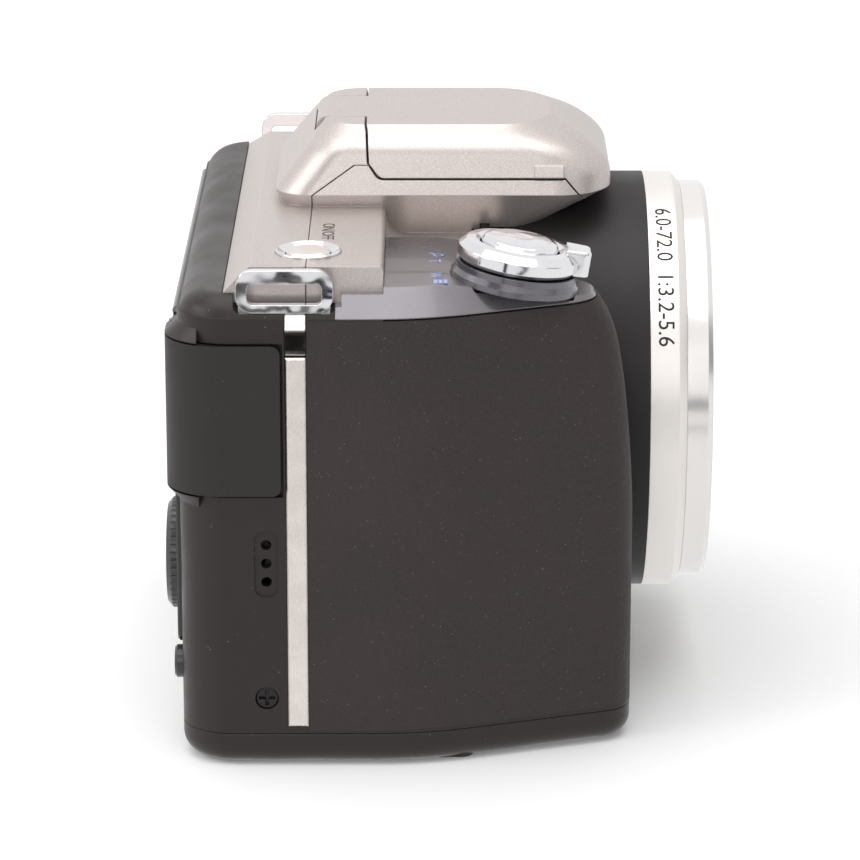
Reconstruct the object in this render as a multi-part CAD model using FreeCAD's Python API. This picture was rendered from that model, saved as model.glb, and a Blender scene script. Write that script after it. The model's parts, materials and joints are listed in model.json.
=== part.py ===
import FreeCAD, Part
import math
import os

# Bridge camera, millimetres. +Z is up, the lens looks along -Y, the grip is at -X.
# The origin is the mouth of the tripod socket on the flat base.

# Fits
running_gap = 0.3       # between moving covers and what surrounds them
button_gap = 0.25       # round each button
shaft_gap = 0.06        # radial, pins and spindles in their holes
seat_gap = 0.05         # between a fixed insert and its pocket
hidden_gap = 0.4        # round a part that drops into a moulded bay

# Casing in plan
far_side_x = 48.0
grip_side_x = -60.2
rear_y = 34.3
front_y = -16.0         # front face beside the lens
nose_y = -35.4          # front of the grip
nose_outer_x = -48.9
nose_inner_x = -39.4
channel_x = -37.4       # finger channel between grip and lens
grip_bend_y = -3.0
rear_corner_r = 8.0
far_corner_r = 7.0
grip_bend_r = 42.0
nose_outer_r = 6.0
nose_inner_r = 4.4
channel_r = 3.0
nose_lean = 3.4         # how far the grip leans back at its top
lean_start_z = 35.5

# Casing in height
seam_z = 5.4            # base plate to casing
side_top_z = 71.5       # top of the side walls
rear_top_z = 74.5       # top of the rear casing
deck_z = 78.5           # top of the metal-coloured deck
wall = 1.8
base_floor = 2.2
base_edge_r = 3.4
rear_edge_r = 4.6
split_y = 16.2          # front shell to rear casing

# Grip covering and side trim
rubber_t = 0.9
rubber_low_z = 5.9
rubber_top_z = 71.1
trim_front_y = 14.6
trim_width = 3.2
trim_depth = 1.3
trim_proud = 0.3
trim_low_z = 6.5
trim_top_z = 65.5
cap_top_z = 72.1

# Strap plates
strap_rear_y = 25.1
strap_front_y = 10.5
strap_t = 1.4
strap_low_z = 72.2
strap_tenon_z = 68.9
strap_tenon_width = 1.8
strap_top_z = 78.8
strap_shoulder_r = 2.6
strap_slot_length = 11.2
strap_slot_height = 3.2
strap_slot_low_z = 73.5
strap_gap = 2.2         # clear way between the plate and the deck

# Deck, the metal-coloured top
deck_rear_y = 27.2
deck_front_y = 3.0
deck_chamfer = 4.0
deck_near_x = -56.0
deck_slope_x = 34.0     # where the far side starts to fall away
deck_far_x = grip_side_x + far_side_x - deck_near_x
deck_far_drop = 5.5
ledge_z = 73.5
ledge_low_z = 71.5

# Control panel on the grip's shoulder
panel_top_z = 75.5
panel_low_z = 71.4
panel_floor_z = 69.7     # its floor plate drops inside the grip covering
panel_inner_x = -26.6
panel_chamfer = 3.4
panel_bend_y = -6.0     # from here it falls to the front
panel_fall_deg = 9.0
panel_back_y = 10.2

# Hump over the lens
hump_top_z = 90.6
hump_crease_z = hump_top_z - 10.0
hump_foot_z = 73.5
hump_shoulder_half = 17.0
hump_crease_half = 20.0
hump_foot_half = 16.0
hump_front_y = -32.8
hump_brow_y = -23.0
hump_rear_y = 20.6
hump_rear_top_y = 12.2
hump_corner_r = 9.0
hump_crown = 3.6         # how far the top edges round inwards
hump_crown_start = 0.6   # share of the height where that rounding starts
hump_wall = 1.6
chin_low_y = -19.0

# Flash head, the part of the hump that lifts
head_rear_y = 5.8
head_low_z = hump_top_z - 7.4
head_slope_y = -25.4
head_tip_y = -28.6
head_tip_z = 79.4
head_gap = 0.35
hinge_z = hump_top_z - 1.8
hinge_pin_r = 0.8
hinge_knuckle_r = 1.7
flash_window_half = 11.0
flash_window_t = 1.2
flash_tube_r = 0.8

# Lens
lens_z = 44.9
barrel_r = 34.0
barrel_wall = 1.6
barrel_front_y = -38.6
number_ring_end_y = -43.2
number_ring_chamfer_y = -44.5
front_ring_r = barrel_r - 1.5
front_ring_end_y = -47.8
lens_front_y = -48.6
front_ring_mouth_r = barrel_r - 3.0
stage_gap = 0.3
stage_wall = 1.5
stage_one_front_y = -47.2
stage_two_front_y = -47.6
stage_one_length = 30.0
stage_two_length = 29.0
lens_plate_y = -3.0
lens_plate_t = 2.4
front_glass_r = 21.5
rear_glass_r = 9.0
sensor_half_x = 7.4
sensor_half_z = 6.2
brow_lean = 2.6         # how far the nose rounds over at its very top
deck_low_z = 72.9
strap_bed_z = 72.1

# Battery door and base fittings
cell_r = 7.25           # round cells, upright in the grip, two by two
cell_length = 50.5
cell_pitch = 14.7
cell_x = -49.0
cell_y = -3.6
door_inner_x = -20.4
door_outer_x = -56.7
door_front_y = -11.2
door_rear_y = 18.8
door_corner_r = 2.5
hinge_corner_r = 0.3      # nearly square on the hinge side, so that the corners swing clear
bush_r = 5.0
bush_flange_r = 6.6
bush_flange_z = 3.0
bush_length = 7.2
tripod_r = 3.175
screw_head_r = 1.65
screw_head_t = 0.9
screw_shank_r = 0.85
screw_length = 5.0

# Hump details
brow_depth = 14.0
hump_rear_fall = 8.0
hump_rear_corner_r = 6.0
hump_foot_rear_y = 17.0
hump_seam_z = hump_top_z - 5.4
hinge_y = 12.4
tongue_half = 7.4
pin_half = 10.5
tab_proud = 0.5
tab_length = 4.6
tab_height = 2.0
deck_seam_y = 14.7

# Flash unit in the head
case_front_y = -26.6
case_rear_y = -9.0
case_low_z = hump_top_z - 10.0
case_top_z = hump_top_z - 4.3
window_top_z = hump_top_z - 6.5
window_low_y = -22.4
flash_depth = 4.6
pocket_half = 15.0
pocket_rear_y = 3.0
pocket_floor_z = hump_top_z - 10.5

# Power button
power_x = -47.0
power_y = 14.5
power_bezel_r = 5.0
power_button_r = 3.35

# Zoom lever and shutter button, on an axis that leans forward
release_x = -46.6
release_y = -17.0
release_z = 75.1        # where the axis meets the panel
release_lean_deg = 9.0
collar_r = 9.3
collar_foot_r = 9.8
collar_height = 1.2
collar_sink = 2.0
lever_r = 9.3
lever_height = 3.4
lever_dish = 0.9
lever_hub_r = 2.4
switch_bay_r = 4.4
switch_bay_depth = 2.2
tab_reach = 10.9
tab_half_width = 2.9
shutter_r = 5.9
shutter_height = 1.6
shutter_travel = 1.0
power_travel = 0.7
power_bezel_proud = 0.5

# Side of the rear casing
cover_front_y = 18.5
cover_low_z = 43.8
cover_top_z = 67.3
cover_t = 1.5
cover_proud = 0.6
cover_rear_proud = 1.9   # the wing behind the corner stands out further
cover_lip = 2.2          # height of the lips above and below it that hold its pin
cover_lip_y = 31.0
cover_rear_x = -50.0
cover_corner_r = 1.3
cover_hinge_x = -49.4
cover_hinge_r = 0.9
speaker_y = 20.9
speaker_zs = (29.9, 32.85, 35.8)
speaker_hole_r = 0.8
side_screw_y = 21.0
side_screw_z = 11.1

# Rear face
panel_plate_t = 0.8
rear_plate_low_z = 16.7
rear_plate_top_z = 70.5
rear_plate_near_x = -51.0
rear_plate_far_x = 42.0
window_near_x = -18.0
window_far_x = 39.5
window_low_z = 22.0
window_high_z = 67.5
window_t = 0.9
wheel_x = -40.5
wheel_z = 28.3
wheel_r = 8.7
wheel_bore_r = 4.6
wheel_t = 2.4
ok_stem_r = 3.5
button_travel = 0.5
button_proud = 0.5
small_button_r = 2.6

# Lens details
lens_base_r = 22.5      # clears the cells beside it
barrel_flange = 1.8
barrel_flange_t = 1.3
glass_front_y = -46.6
glass_seat_y = -43.9

# Rear details
socket_y = 22.4
socket_sink = 1.5
display_t = 3.4
wheel_sink = 6.0
wheel_proud = 2.6
wheel_ribs = 44
movie_x = -27.0
movie_z = 63.5
playback_x = -30.0
playback_z = 47.0
button_spread = 9.5
lower_button_z = 13.6
board_face_y = 31.2

# Inside
holder_wall = 0.7
cell_low_z = 7.2
cell_top_r = 2.75
door_axis_z = 1.1
door_pin_r = 0.55
latch_x = -52.0
latch_y = 3.0
latch_length = 6.0
latch_width = 7.0
latch_t = 0.9
latch_travel = 2.5
card_t = 2.1
card_width = 24.0
card_length = 32.0
card_x = -24.0
card_y = 4.5
card_low_z = 4.8
slot_wall = 0.4
slot_low_z = 7.9
capacitor_r = 4.3
capacitor_length = 34.0
capacitor_x = -45.4
capacitor_y = -22.6
capacitor_z = 15.5
chassis_t = 0.7
chassis_near_x = -20.2
chassis_far_x = 43.0
chassis_low_z = 9.0
chassis_high_z = 68.5
post_r = 2.2
standoff = 2.6
board_t = 1.2
motor_r = 5.0
motor_length = 16.0
motor_x = 22.5
motor_z = 22.0
lamp_x = -32.9
lamp_z = 66.0
lamp_r = 2.3
key_board_x = -22.0
lens_flange_t = 1.2           # thickness of the flange that the lens base is bolted up with
lens_flange_cut_x = -25.9     # flat on that flange beside the battery holder
switch_t = 1.6                # height of the shutter switch
motor_stub = 1.6              # length of the shaft stub in front of the motor
deck_seam_gap = 0.12          # open line between the two deck pieces
seam_chamfer = 0.25           # round the top of the base plate, which shows the seam
lens_flange_step = 1.2        # how far that flange reaches past the barrel's bore


def point(x, y, z):
    return FreeCAD.Vector(x, y, z)


def unit(u, v):
    length = math.hypot(u, v)
    return u / length, v / length


def inset_corners(corners, inset):
    """Moves a counter-clockwise outline inwards, with its corner radii."""
    moved = []
    for i, (u, v, radius) in enumerate(corners):
        before = corners[i - 1]
        after = corners[(i + 1) % len(corners)]
        iu, iv = unit(u - before[0], v - before[1])
        ou, ov = unit(after[0] - u, after[1] - v)
        share = inset / (1 + iu * ou + iv * ov)
        outward = iu * ov - iv * ou > 0
        new_radius = radius - inset if outward else radius + inset
        moved.append((u - share * (iv + ov), v + share * (iu + ou), max(new_radius, 0.3) if radius else 0))
    return moved


def outline(corners, place):
    """A closed wire through corners of (u, v, radius), set in space by place(u, v)."""
    starts = []
    arcs = []
    for i, (u, v, radius) in enumerate(corners):
        before = corners[i - 1]
        after = corners[(i + 1) % len(corners)]
        iu, iv = unit(u - before[0], v - before[1])
        ou, ov = unit(after[0] - u, after[1] - v)
        half = math.atan2(abs(iu * ov - iv * ou), iu * ou + iv * ov) / 2
        if radius <= 0 or half < 0.01:
            starts.append((place(u, v), place(u, v)))
            arcs.append(None)
            continue
        back = radius * math.tan(half)
        bulge = radius / math.cos(half) - radius
        mu, mv = unit(ou - iu, ov - iv)
        start = place(u - iu * back, v - iv * back)
        end = place(u + ou * back, v + ov * back)
        middle = place(u + mu * bulge, v + mv * bulge)
        starts.append((start, end))
        arcs.append(Part.Arc(start, middle, end).toShape())
    edges = []
    for i, arc in enumerate(arcs):
        if arc is not None:
            edges.append(arc)
        leave = starts[i][1]
        arrive = starts[(i + 1) % len(starts)][0]
        if leave.distanceToPoint(arrive) > 1e-6:
            edges.append(Part.makeLine(leave, arrive))
    return Part.Wire(edges)


def prism_z(corners, low, high):
    face = Part.Face(outline(corners, lambda u, v: point(u, v, low)))
    return face.extrude(point(0, 0, high - low))


def prism_x(corners, low, high):
    """Extrudes an outline drawn in Y and Z across X."""
    face = Part.Face(outline(corners, lambda u, v: point(low, u, v)))
    return face.extrude(point(high - low, 0, 0))


def prism_y(corners, low, high):
    """Extrudes an outline drawn in X and Z along Y."""
    face = Part.Face(outline(corners, lambda u, v: point(u, low, v)))
    return face.extrude(point(0, high - low, 0))


def block(x0, x1, y0, y1, z0, z1):
    return Part.makeBox(x1 - x0, y1 - y0, z1 - z0, point(x0, y0, z0))


def rounded_block_y(x0, x1, z0, z1, radius, y0, y1):
    corners = [(x0, z0, radius), (x1, z0, radius), (x1, z1, radius), (x0, z1, radius)]
    return prism_y(corners, y0, y1)


def rounded_block_x(y0, y1, z0, z1, radius, x0, x1):
    corners = [(y0, z0, radius), (y1, z0, radius), (y1, z1, radius), (y0, z1, radius)]
    return prism_x(corners, x0, x1)


def rounded_block_z(x0, x1, y0, y1, radius, z0, z1):
    corners = [(x0, y0, radius), (x1, y0, radius), (x1, y1, radius), (x0, y1, radius)]
    return prism_z(corners, z0, z1)


def rod(start, end, radius):
    axis = end.sub(start)
    return Part.makeCylinder(radius, axis.Length, start, axis)


def turned(profile, start, axis):
    """Revolves (radius, height) points about an axis that starts at a point."""
    wire = Part.makePolygon([point(r, 0, h) for r, h in profile] + [point(profile[0][0], 0, profile[0][1])])
    solid = Part.Face(wire).revolve(point(0, 0, 0), point(0, 0, 1), 360)
    turn = FreeCAD.Rotation(point(0, 0, 1), axis)
    solid.Placement = FreeCAD.Placement(start, turn)
    return solid


def lens_turned(profile):
    """Revolves (radius, y) points about the lens axis."""
    wire = Part.makePolygon([point(r, y, lens_z) for r, y in profile]
                            + [point(profile[0][0], profile[0][1], lens_z)])
    return Part.Face(wire).revolve(point(0, 0, lens_z), point(0, 1, 0), 360)


def joined(shapes):
    whole = shapes[0]
    if len(shapes) > 1:
        whole = whole.fuse(shapes[1:])
    return whole.removeSplitter()


def group(shapes):
    return Part.makeCompound(shapes)


parts = {}


def keep(name, shape):
    parts[name] = shape


# Casing forms shared by the shells, the base and the panel on the grip's shoulder

def lean_at(z):
    """How far the front of the grip stands back at a height."""
    if z <= lean_start_z:
        return 0.0
    share = (z - lean_start_z) / (side_top_z - lean_start_z)
    return nose_lean * share ** 1.7 + brow_lean * share ** 9


def casing_corners(inset=0.0, lean=0.0):
    corners = [
        (far_side_x, rear_y, rear_corner_r),
        (grip_side_x, rear_y, rear_corner_r),
        (grip_side_x, grip_bend_y, grip_bend_r),
        (nose_outer_x, nose_y + lean, nose_outer_r),
        (nose_inner_x, nose_y + lean, nose_inner_r),
        (channel_x, front_y, channel_r),
        (far_side_x, front_y, far_corner_r),
    ]
    return inset_corners(corners, inset)


def casing_body(inset, low, high):
    """The casing between two heights, drawn in by an inset, its grip leaning back."""
    levels = [lean_start_z + share * (side_top_z - lean_start_z) for share in (0, 0.125, 0.25, 0.375, 0.5, 0.625, 0.75, 0.875, 1)]
    wires = [outline(casing_corners(inset, lean_at(z)), lambda u, v, z=z: point(u, v, z)) for z in levels]
    upper = Part.makeLoft(wires, True, False)
    whole = upper.fuse(prism_z(casing_corners(inset), 0, lean_start_z))
    return whole.common(block(-99, 99, -99, 99, low, high))


outer_body = casing_body(0.0, seam_z, side_top_z)
skin_body = casing_body(rubber_t, seam_z, side_top_z)
inner_body = casing_body(wall + rubber_t, 0, side_top_z)
grip_zone = block(-99, channel_x + 2.0, -99, trim_front_y, rubber_low_z, rubber_top_z)

# Grip covering, a soft-touch skin from the side trim round the nose to the finger channel
rubber = outer_body.cut(skin_body).common(grip_zone)

# The rear of the casing stands higher and has a rounded top edge
high_rear = prism_z(casing_corners(), side_top_z - 12, rear_top_z)
rounded = [e for e in high_rear.Edges
           if e.BoundBox.ZMin > rear_top_z - 0.01 and e.BoundBox.YMax > split_y]
high_rear = high_rear.makeFillet(rear_edge_r, rounded)
deck_bed = block(deck_near_x - seat_gap, 99, -99, deck_rear_y + seat_gap, deck_low_z, 99)
high_rear = high_rear.cut(deck_bed)
strap_bed = rounded_block_x(strap_front_y - hidden_gap, strap_rear_y + hidden_gap, strap_bed_z,
                            deck_z, 1.2, grip_side_x - 2, deck_near_x)
far_strap_bed = strap_bed.mirror(point((grip_side_x + far_side_x) / 2, 0, 0), point(1, 0, 0))
trim_groove = block(-99, grip_side_x + trim_depth, trim_front_y, trim_front_y + trim_width,
                    trim_low_z, cap_top_z)

# Front shell
front_zone = block(-99, 99, -99, split_y, seam_z, side_top_z)
front_extra = high_rear.common(block(-99, 99, panel_back_y, split_y, side_top_z - 12, 99))
hollow_low = casing_body(wall + rubber_t, seam_z - 1, side_top_z - wall)
front = outer_body.common(front_zone).cut(outer_body.cut(skin_body).common(grip_zone))
front = front.cut(hollow_low.common(block(-99, 99, -99, 99, 0, side_top_z - wall)))
lens_hole = Part.makeCylinder(barrel_r - barrel_wall, wall * 8, point(0, front_y - 1, lens_z), point(0, 1, 0))
top_hole = block(-26, 40, front_y + wall + rubber_t, split_y + 1, side_top_z - wall - 1, 99)
front = front.fuse(front_extra.cut(hollow_low)).cut(group([lens_hole, top_hole, strap_bed, far_strap_bed, trim_groove])).cut(rubber)

# Rear casing
rear_zone = block(-99, 99, split_y, 99, seam_z, 99)
rear = outer_body.fuse(high_rear).common(rear_zone)
rear_hollow = prism_z(casing_corners(wall + 0.4), seam_z - 1, rear_top_z - wall)
rear_hollow = rear_hollow.common(block(-99, 99, -99, 99, 0, deck_low_z - wall))
rear = rear.cut(rear_hollow)
rear = rear.cut(group([strap_bed, far_strap_bed, trim_groove]))

# Base plate, a shallow tray with the battery opening, the tripod insert and the screw holes
base = prism_z(casing_corners(), 0, seam_z)
low_edges = [e for e in base.Edges if e.BoundBox.ZMax < 0.01]
base = base.makeFillet(base_edge_r, low_edges)
base = base.makeChamfer(seam_chamfer, [e for e in base.Edges if e.BoundBox.ZMin > seam_z - 0.01])
base = base.cut(prism_z(casing_corners(wall + 0.6), base_floor, seam_z + 1))


def door_outline(inset):
    corners = [(door_inner_x, door_rear_y, hinge_corner_r), (door_outer_x, door_rear_y, door_corner_r),
               (door_outer_x, door_front_y, door_corner_r), (door_inner_x, door_front_y, hinge_corner_r)]
    return inset_corners(corners, inset)


boss = Part.makeCylinder(bush_flange_r + 2.0, seam_z - base_floor, point(0, 0, base_floor))
base = base.fuse(boss)
bush_hole = Part.makeCylinder(bush_r + seat_gap, seam_z + 2, point(0, 0, -1))
bush_rebate = Part.makeCylinder(bush_flange_r + seat_gap, 9, point(0, 0, bush_flange_z))
base = base.cut(group([prism_z(door_outline(0), -1, seam_z + 1), bush_hole, bush_rebate]))

screw_places = [(12, 26), (40, 26), (40, -8), (-13, -9)]
screw_holes = [Part.makeCylinder(screw_shank_r + 0.1, 9, point(x, y, -1)) for x, y in screw_places]
screw_sinks = [Part.makeCylinder(screw_head_r + 0.15, screw_head_t + 0.3, point(x, y, -0.0)) for x, y in screw_places]
base = base.cut(group(screw_holes + screw_sinks))
keep("base_plate", base)


def cross_screw(head_place, inward):
    """A small cross-recessed screw, its head's outer face at head_place."""
    head = rod(head_place, head_place + inward * screw_head_t, screw_head_r)
    shank = rod(head_place + inward * screw_head_t, head_place + inward * (screw_head_t + screw_length), screw_shank_r)
    long = screw_head_r * 1.5
    bar_one = block(-long / 2, long / 2, -0.25, 0.25, -0.7, 0.7)
    bar_two = block(-0.25, 0.25, -long / 2, long / 2, -0.7, 0.7)
    cross = bar_one.fuse(bar_two)
    cross.Placement = FreeCAD.Placement(head_place, FreeCAD.Rotation(point(0, 0, 1), inward))
    return head.fuse(shank).cut(cross)


base_screws = [cross_screw(point(x, y, 0.3), point(0, 0, 1)) for x, y in screw_places]

bush = Part.makeCylinder(bush_r, bush_flange_z, point(0, 0, 0))
bush = bush.fuse(Part.makeCylinder(bush_flange_r, bush_length - bush_flange_z, point(0, 0, bush_flange_z)))
bush = bush.cut(Part.makeCylinder(tripod_r, bush_length - 0.8, point(0, 0, 0)))
keep("tripod_bush", bush)

# Side trim, a narrow metal strip in a groove over the joint between the shells, with a bright cap
strip = block(grip_side_x - trim_proud, grip_side_x + trim_depth - seat_gap,
              trim_front_y + seat_gap, trim_front_y + trim_width - seat_gap, trim_low_z + seat_gap, trim_top_z)
strip = strip.makeChamfer(0.25, [e for e in strip.Edges if e.BoundBox.XMax < grip_side_x])
keep("side_trim", strip)
cap = prism_y([(grip_side_x + trim_depth - seat_gap, trim_top_z + 0.1, 0),
               (grip_side_x + trim_depth - seat_gap, cap_top_z - seat_gap, 0),
               (grip_side_x + 0.9, cap_top_z - seat_gap, 0.4),
               (grip_side_x - trim_proud, cap_top_z - 2.6, 1.5),
               (grip_side_x - trim_proud, trim_top_z + 0.1, 1.0)],
              trim_front_y + seat_gap, trim_front_y + trim_width - seat_gap)
keep("trim_cap", cap)

# Strap plates, bright arches that stand on the shoulders of the casing


def strap_plate(face_x):
    arch = rounded_block_x(strap_front_y, strap_rear_y, strap_low_z, strap_top_z,
                           strap_shoulder_r, face_x, face_x + strap_t)
    middle = (strap_front_y + strap_rear_y) / 2
    slot = rounded_block_x(middle - strap_slot_length / 2, middle + strap_slot_length / 2,
                           strap_slot_low_z, strap_slot_low_z + strap_slot_height, 0.9,
                           face_x - 1, face_x + strap_t + 1)
    for y in (strap_front_y + 0.4, strap_rear_y - 0.4 - strap_tenon_width):
        tenon = block(face_x + 0.5, face_x + strap_t - 0.1, y, y + strap_tenon_width, strap_tenon_z, strap_low_z + strap_shoulder_r)
        arch = arch.fuse(tenon)
    return arch.cut(slot)


near_strap_x = deck_near_x - strap_gap - strap_t
far_strap_x = grip_side_x + far_side_x - near_strap_x - strap_t
keep("strap_plates", group([strap_plate(near_strap_x), strap_plate(far_strap_x)]))


front = front.cut(parts["strap_plates"])
rear = rear.cut(parts["strap_plates"])

# Hump over the lens: sections at several heights, each with rounded front and rear corners


def hump_half(z):
    """Half width of the hump: slanted sides that round inwards near the top."""
    share = (z - hump_crease_z) / (hump_top_z - hump_crease_z)
    rounding = (max(0.0, share - hump_crown_start) / (1 - hump_crown_start)) ** 2
    return hump_crease_half + (hump_shoulder_half - hump_crease_half) * share - hump_crown * rounding


def hump_section(z, inset):
    share = (z - hump_crease_z) / (hump_top_z - hump_crease_z)
    half = hump_half(z)
    front = hump_front_y + brow_depth * max(0.0, share - 0.18) ** 1.9
    back = hump_rear_y - hump_rear_fall * share
    corners = [(half, front, hump_corner_r), (half, back, hump_rear_corner_r),
               (-half, back, hump_rear_corner_r), (-half, front, hump_corner_r)]
    return inset_corners(corners, inset)


def hump_form(inset):
    """The hump above its crease, drawn in by an inset."""
    top = hump_top_z - inset
    low = hump_crease_z
    levels = [low + (top - low) * share for share in (0, 0.16, 0.33, 0.5, 0.67, 0.84, 1.0)]
    wires = []
    for z in levels:
        section = hump_section(z + inset * (z - low) / (top - low), inset)
        wires.append(outline(section, lambda u, v, z=z: point(u, v, z)))
    return Part.makeLoft(wires, True, False)


def hump_skirt(inset):
    """The hump below its crease, drawing in to its foot, with the chin over the barrel."""
    crease = outline(hump_section(hump_crease_z, inset), lambda u, v: point(u, v, hump_crease_z))
    half = hump_foot_half - inset
    foot_corners = [(half, chin_low_y, 4.0), (half, hump_foot_rear_y - inset, 3.0),
                    (-half, hump_foot_rear_y - inset, 3.0), (-half, chin_low_y, 4.0)]
    foot = outline(foot_corners, lambda u, v: point(u, v, hump_foot_z))
    return Part.makeLoft([foot, crease], True, True)


hump = joined([hump_form(0), hump_skirt(0)])
hump_inside = hump_form(hump_wall)

hinge = point(0, hinge_y, hinge_z)
knuckle_reach = hump_top_z - hinge_z


def head_region(gap):
    """What belongs to the flash head, seen from the side, grown by a gap."""
    corners = [
        (-60, 99, 0),
        (-60, head_tip_z - gap, 0),
        (head_tip_y, head_tip_z - gap, 0),
        (head_slope_y, head_low_z - gap, 0),
        (head_rear_y - 1.9 + gap, head_low_z - gap, 1.6),
        (head_rear_y - 0.2 + gap, head_low_z + 2.2, 0),
        (head_rear_y + gap, hinge_z, 0),
        (hinge_y, hinge_z, 0),
        (hinge_y, 99, 0),
    ]
    across = prism_x(corners, -40, 40)
    reach = hinge_y - head_rear_y - gap
    return across.cut(Part.makeCylinder(reach, 80, point(-40, hinge_y, hinge_z), point(1, 0, 0)))


def tongue(gap):
    """The arm that carries the head back to its hinge, with the knuckle at its end."""
    half = tongue_half + gap
    arm = block(-half, half, head_rear_y - 3.0 - gap, hinge_y, hinge_z - gap - 0.4, hump_top_z + gap)
    knuckle = Part.makeCylinder(knuckle_reach + gap, 2 * half, point(-half, hinge_y, hinge_z), point(1, 0, 0))
    return arm.fuse(knuckle)


pin_start = point(-pin_half - 0.1, hinge_y, hinge_z)
pin_hole = Part.makeCylinder(hinge_pin_r + shaft_gap, 2 * pin_half + 0.2, pin_start, point(1, 0, 0))
pin_seat = Part.makeCylinder(hinge_pin_r + 0.01, 2 * pin_half + 0.2, pin_start, point(1, 0, 0))
head_shell = hump.common(head_region(0)).cut(hump_inside)
head_shell = head_shell.fuse(tongue(0)).cut(pin_hole)



def finger_tab(side):
    low = hump_half(head_low_z)
    high = hump_half(head_low_z + tab_height)
    corners = [(low - 1.0, head_low_z, 0), (low + tab_proud, head_low_z, 0.2),
               (high + tab_proud, head_low_z + tab_height, 0.2), (high - 1.0, head_low_z + tab_height, 0)]
    tab = prism_y(corners, head_slope_y + 0.3, head_slope_y + 0.3 + tab_length)
    return tab if side > 0 else tab.mirror(point(0, 0, 0), point(1, 0, 0))


finger_tabs = [finger_tab(-1), finger_tab(1)]
head_shell = head_shell.fuse(finger_tabs).removeSplitter()
keep("flash_head", head_shell)

# Flash unit inside the head: black carrier, bright trough, tube and window
carrier_profile = [(case_rear_y, case_low_z, 0), (case_rear_y, case_top_z, 0), (case_front_y + 2.0, case_top_z, 0),
                   (case_front_y, window_top_z, 0), (window_low_y, case_low_z, 0)]
carrier_profile.reverse()
carrier = prism_x(carrier_profile, -flash_window_half - 1.4, flash_window_half + 1.4)
slope_y = window_low_y - case_front_y
slope_z = case_low_z - window_top_z
slope = math.hypot(slope_y, slope_z)
along = (slope_y / slope, slope_z / slope)
into = (-along[1], along[0])


def slope_point(distance, depth):
    return (case_front_y + along[0] * distance + into[0] * depth,
            window_top_z + along[1] * distance + into[1] * depth)


def slope_block(start, end, near, far, half):
    quad = [slope_point(start, near), slope_point(start, far), slope_point(end, far), slope_point(end, near)]
    return prism_x([(v, w, 0) for v, w in quad], -half, half)


trough_space = slope_block(0.6, slope - 0.6, 0, flash_depth, flash_window_half)
keep("flash_carrier", carrier.cut(trough_space))
keep("flash_window", slope_block(0.65, slope - 0.65, 0.05, flash_window_t, flash_window_half - 0.05))
trough = slope_block(0.65, slope - 0.65, flash_window_t + 0.05, flash_depth - 0.05, flash_window_half - 0.05)
scoop_r = slope / 2 - 1.0
scoop_depth = flash_window_t + scoop_r * 0.5
scoop_middle = slope_point(slope / 2, scoop_depth)
scoop = Part.makeCylinder(scoop_r, 2 * flash_window_half - 1.6,
                          point(-flash_window_half + 0.8, scoop_middle[0], scoop_middle[1]), point(1, 0, 0))
scoop = scoop.fuse(slope_block(slope / 2 - scoop_r, slope / 2 + scoop_r, 0, scoop_depth, flash_window_half - 0.8))
tube_middle = slope_point(slope / 2, scoop_depth + scoop_r - flash_tube_r - 0.2)
tube = Part.makeCylinder(flash_tube_r, 2 * flash_window_half - 1.7,
                         point(-flash_window_half + 0.85, tube_middle[0], tube_middle[1]), point(1, 0, 0))
keep("flash_lamp", group([trough.cut(scoop), tube]))
flash_pin = Part.makeCylinder(hinge_pin_r, 2 * pin_half, point(-pin_half, hinge_y, hinge_z), point(1, 0, 0))

# Deck: the metal-coloured top, in a front and a rear piece, with the hump's fixed part
deck_side = [
    (deck_rear_y, deck_low_z, 0), (deck_rear_y, deck_z - deck_chamfer, 0.8),
    (deck_rear_y - deck_chamfer, deck_z, 0.8), (deck_front_y, deck_z, 0.8),
    (deck_front_y, ledge_z, 4.0), (front_y, ledge_z, 2.0), (front_y, ledge_low_z, 0),
    (deck_front_y, ledge_low_z, 0), (deck_front_y + 2, deck_low_z, 0),
]
deck = prism_x(deck_side, deck_near_x, deck_far_x)
fall = prism_y([(deck_slope_x, deck_z, 0), (deck_far_x + 9, deck_z - deck_far_drop * 22 / 12.8, 0),
                (deck_far_x + 9, 99, 0), (deck_slope_x, 99, 0)], -99, 99)
deck = deck.cut(fall)
near_low = block(-99, panel_inner_x, -99, deck_front_y, 0, deck_z + 1)
deck = deck.cut(near_low).common(prism_z(casing_corners(0.8), 0, 99))
deck_hollow = prism_x([(deck_rear_y - 1.6, 0, 0), (deck_rear_y - 1.6, deck_z - deck_chamfer - 0.6, 0),
                       (deck_rear_y - deck_chamfer - 0.6, deck_z - 1.6, 0), (deck_front_y + 1.6, deck_z - 1.6, 0),
                       (deck_front_y + 1.6, 0, 0)][::-1], deck_near_x + 1.6, deck_slope_x - 1)
deck = deck.cut(deck_hollow)
hump_fixed = hump.cut(head_region(head_gap)).cut(tongue(head_gap))
pocket = block(-pocket_half, pocket_half, -60, pocket_rear_y, pocket_floor_z, 99)
under_space = block(-13.5, 13.5, -30, 15, 0, pocket_floor_z - 1.4)
flange_end_y = front_y + wall + rubber_t + barrel_flange_t
barrel_space = Part.makeCylinder(barrel_r + seat_gap, 60, point(0, flange_end_y + 0.1, lens_z), point(0, -1, 0))
base_flange_r = barrel_r - barrel_wall + lens_flange_step
base_flange_space = Part.makeCylinder(base_flange_r + seat_gap, 60, point(0, flange_end_y + lens_flange_t + 0.1, lens_z), point(0, -1, 0))
barrel_space = barrel_space.fuse(base_flange_space)
flange_space = Part.makeCylinder(barrel_r - 1.0 + barrel_flange + seat_gap, 9, point(0, flange_end_y + 0.1, lens_z), point(0, -1, 0))
barrel_space = barrel_space.fuse(flange_space.common(block(-99, 99, front_y + wall + rubber_t - 0.1, 99, 0, 99)))
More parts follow.
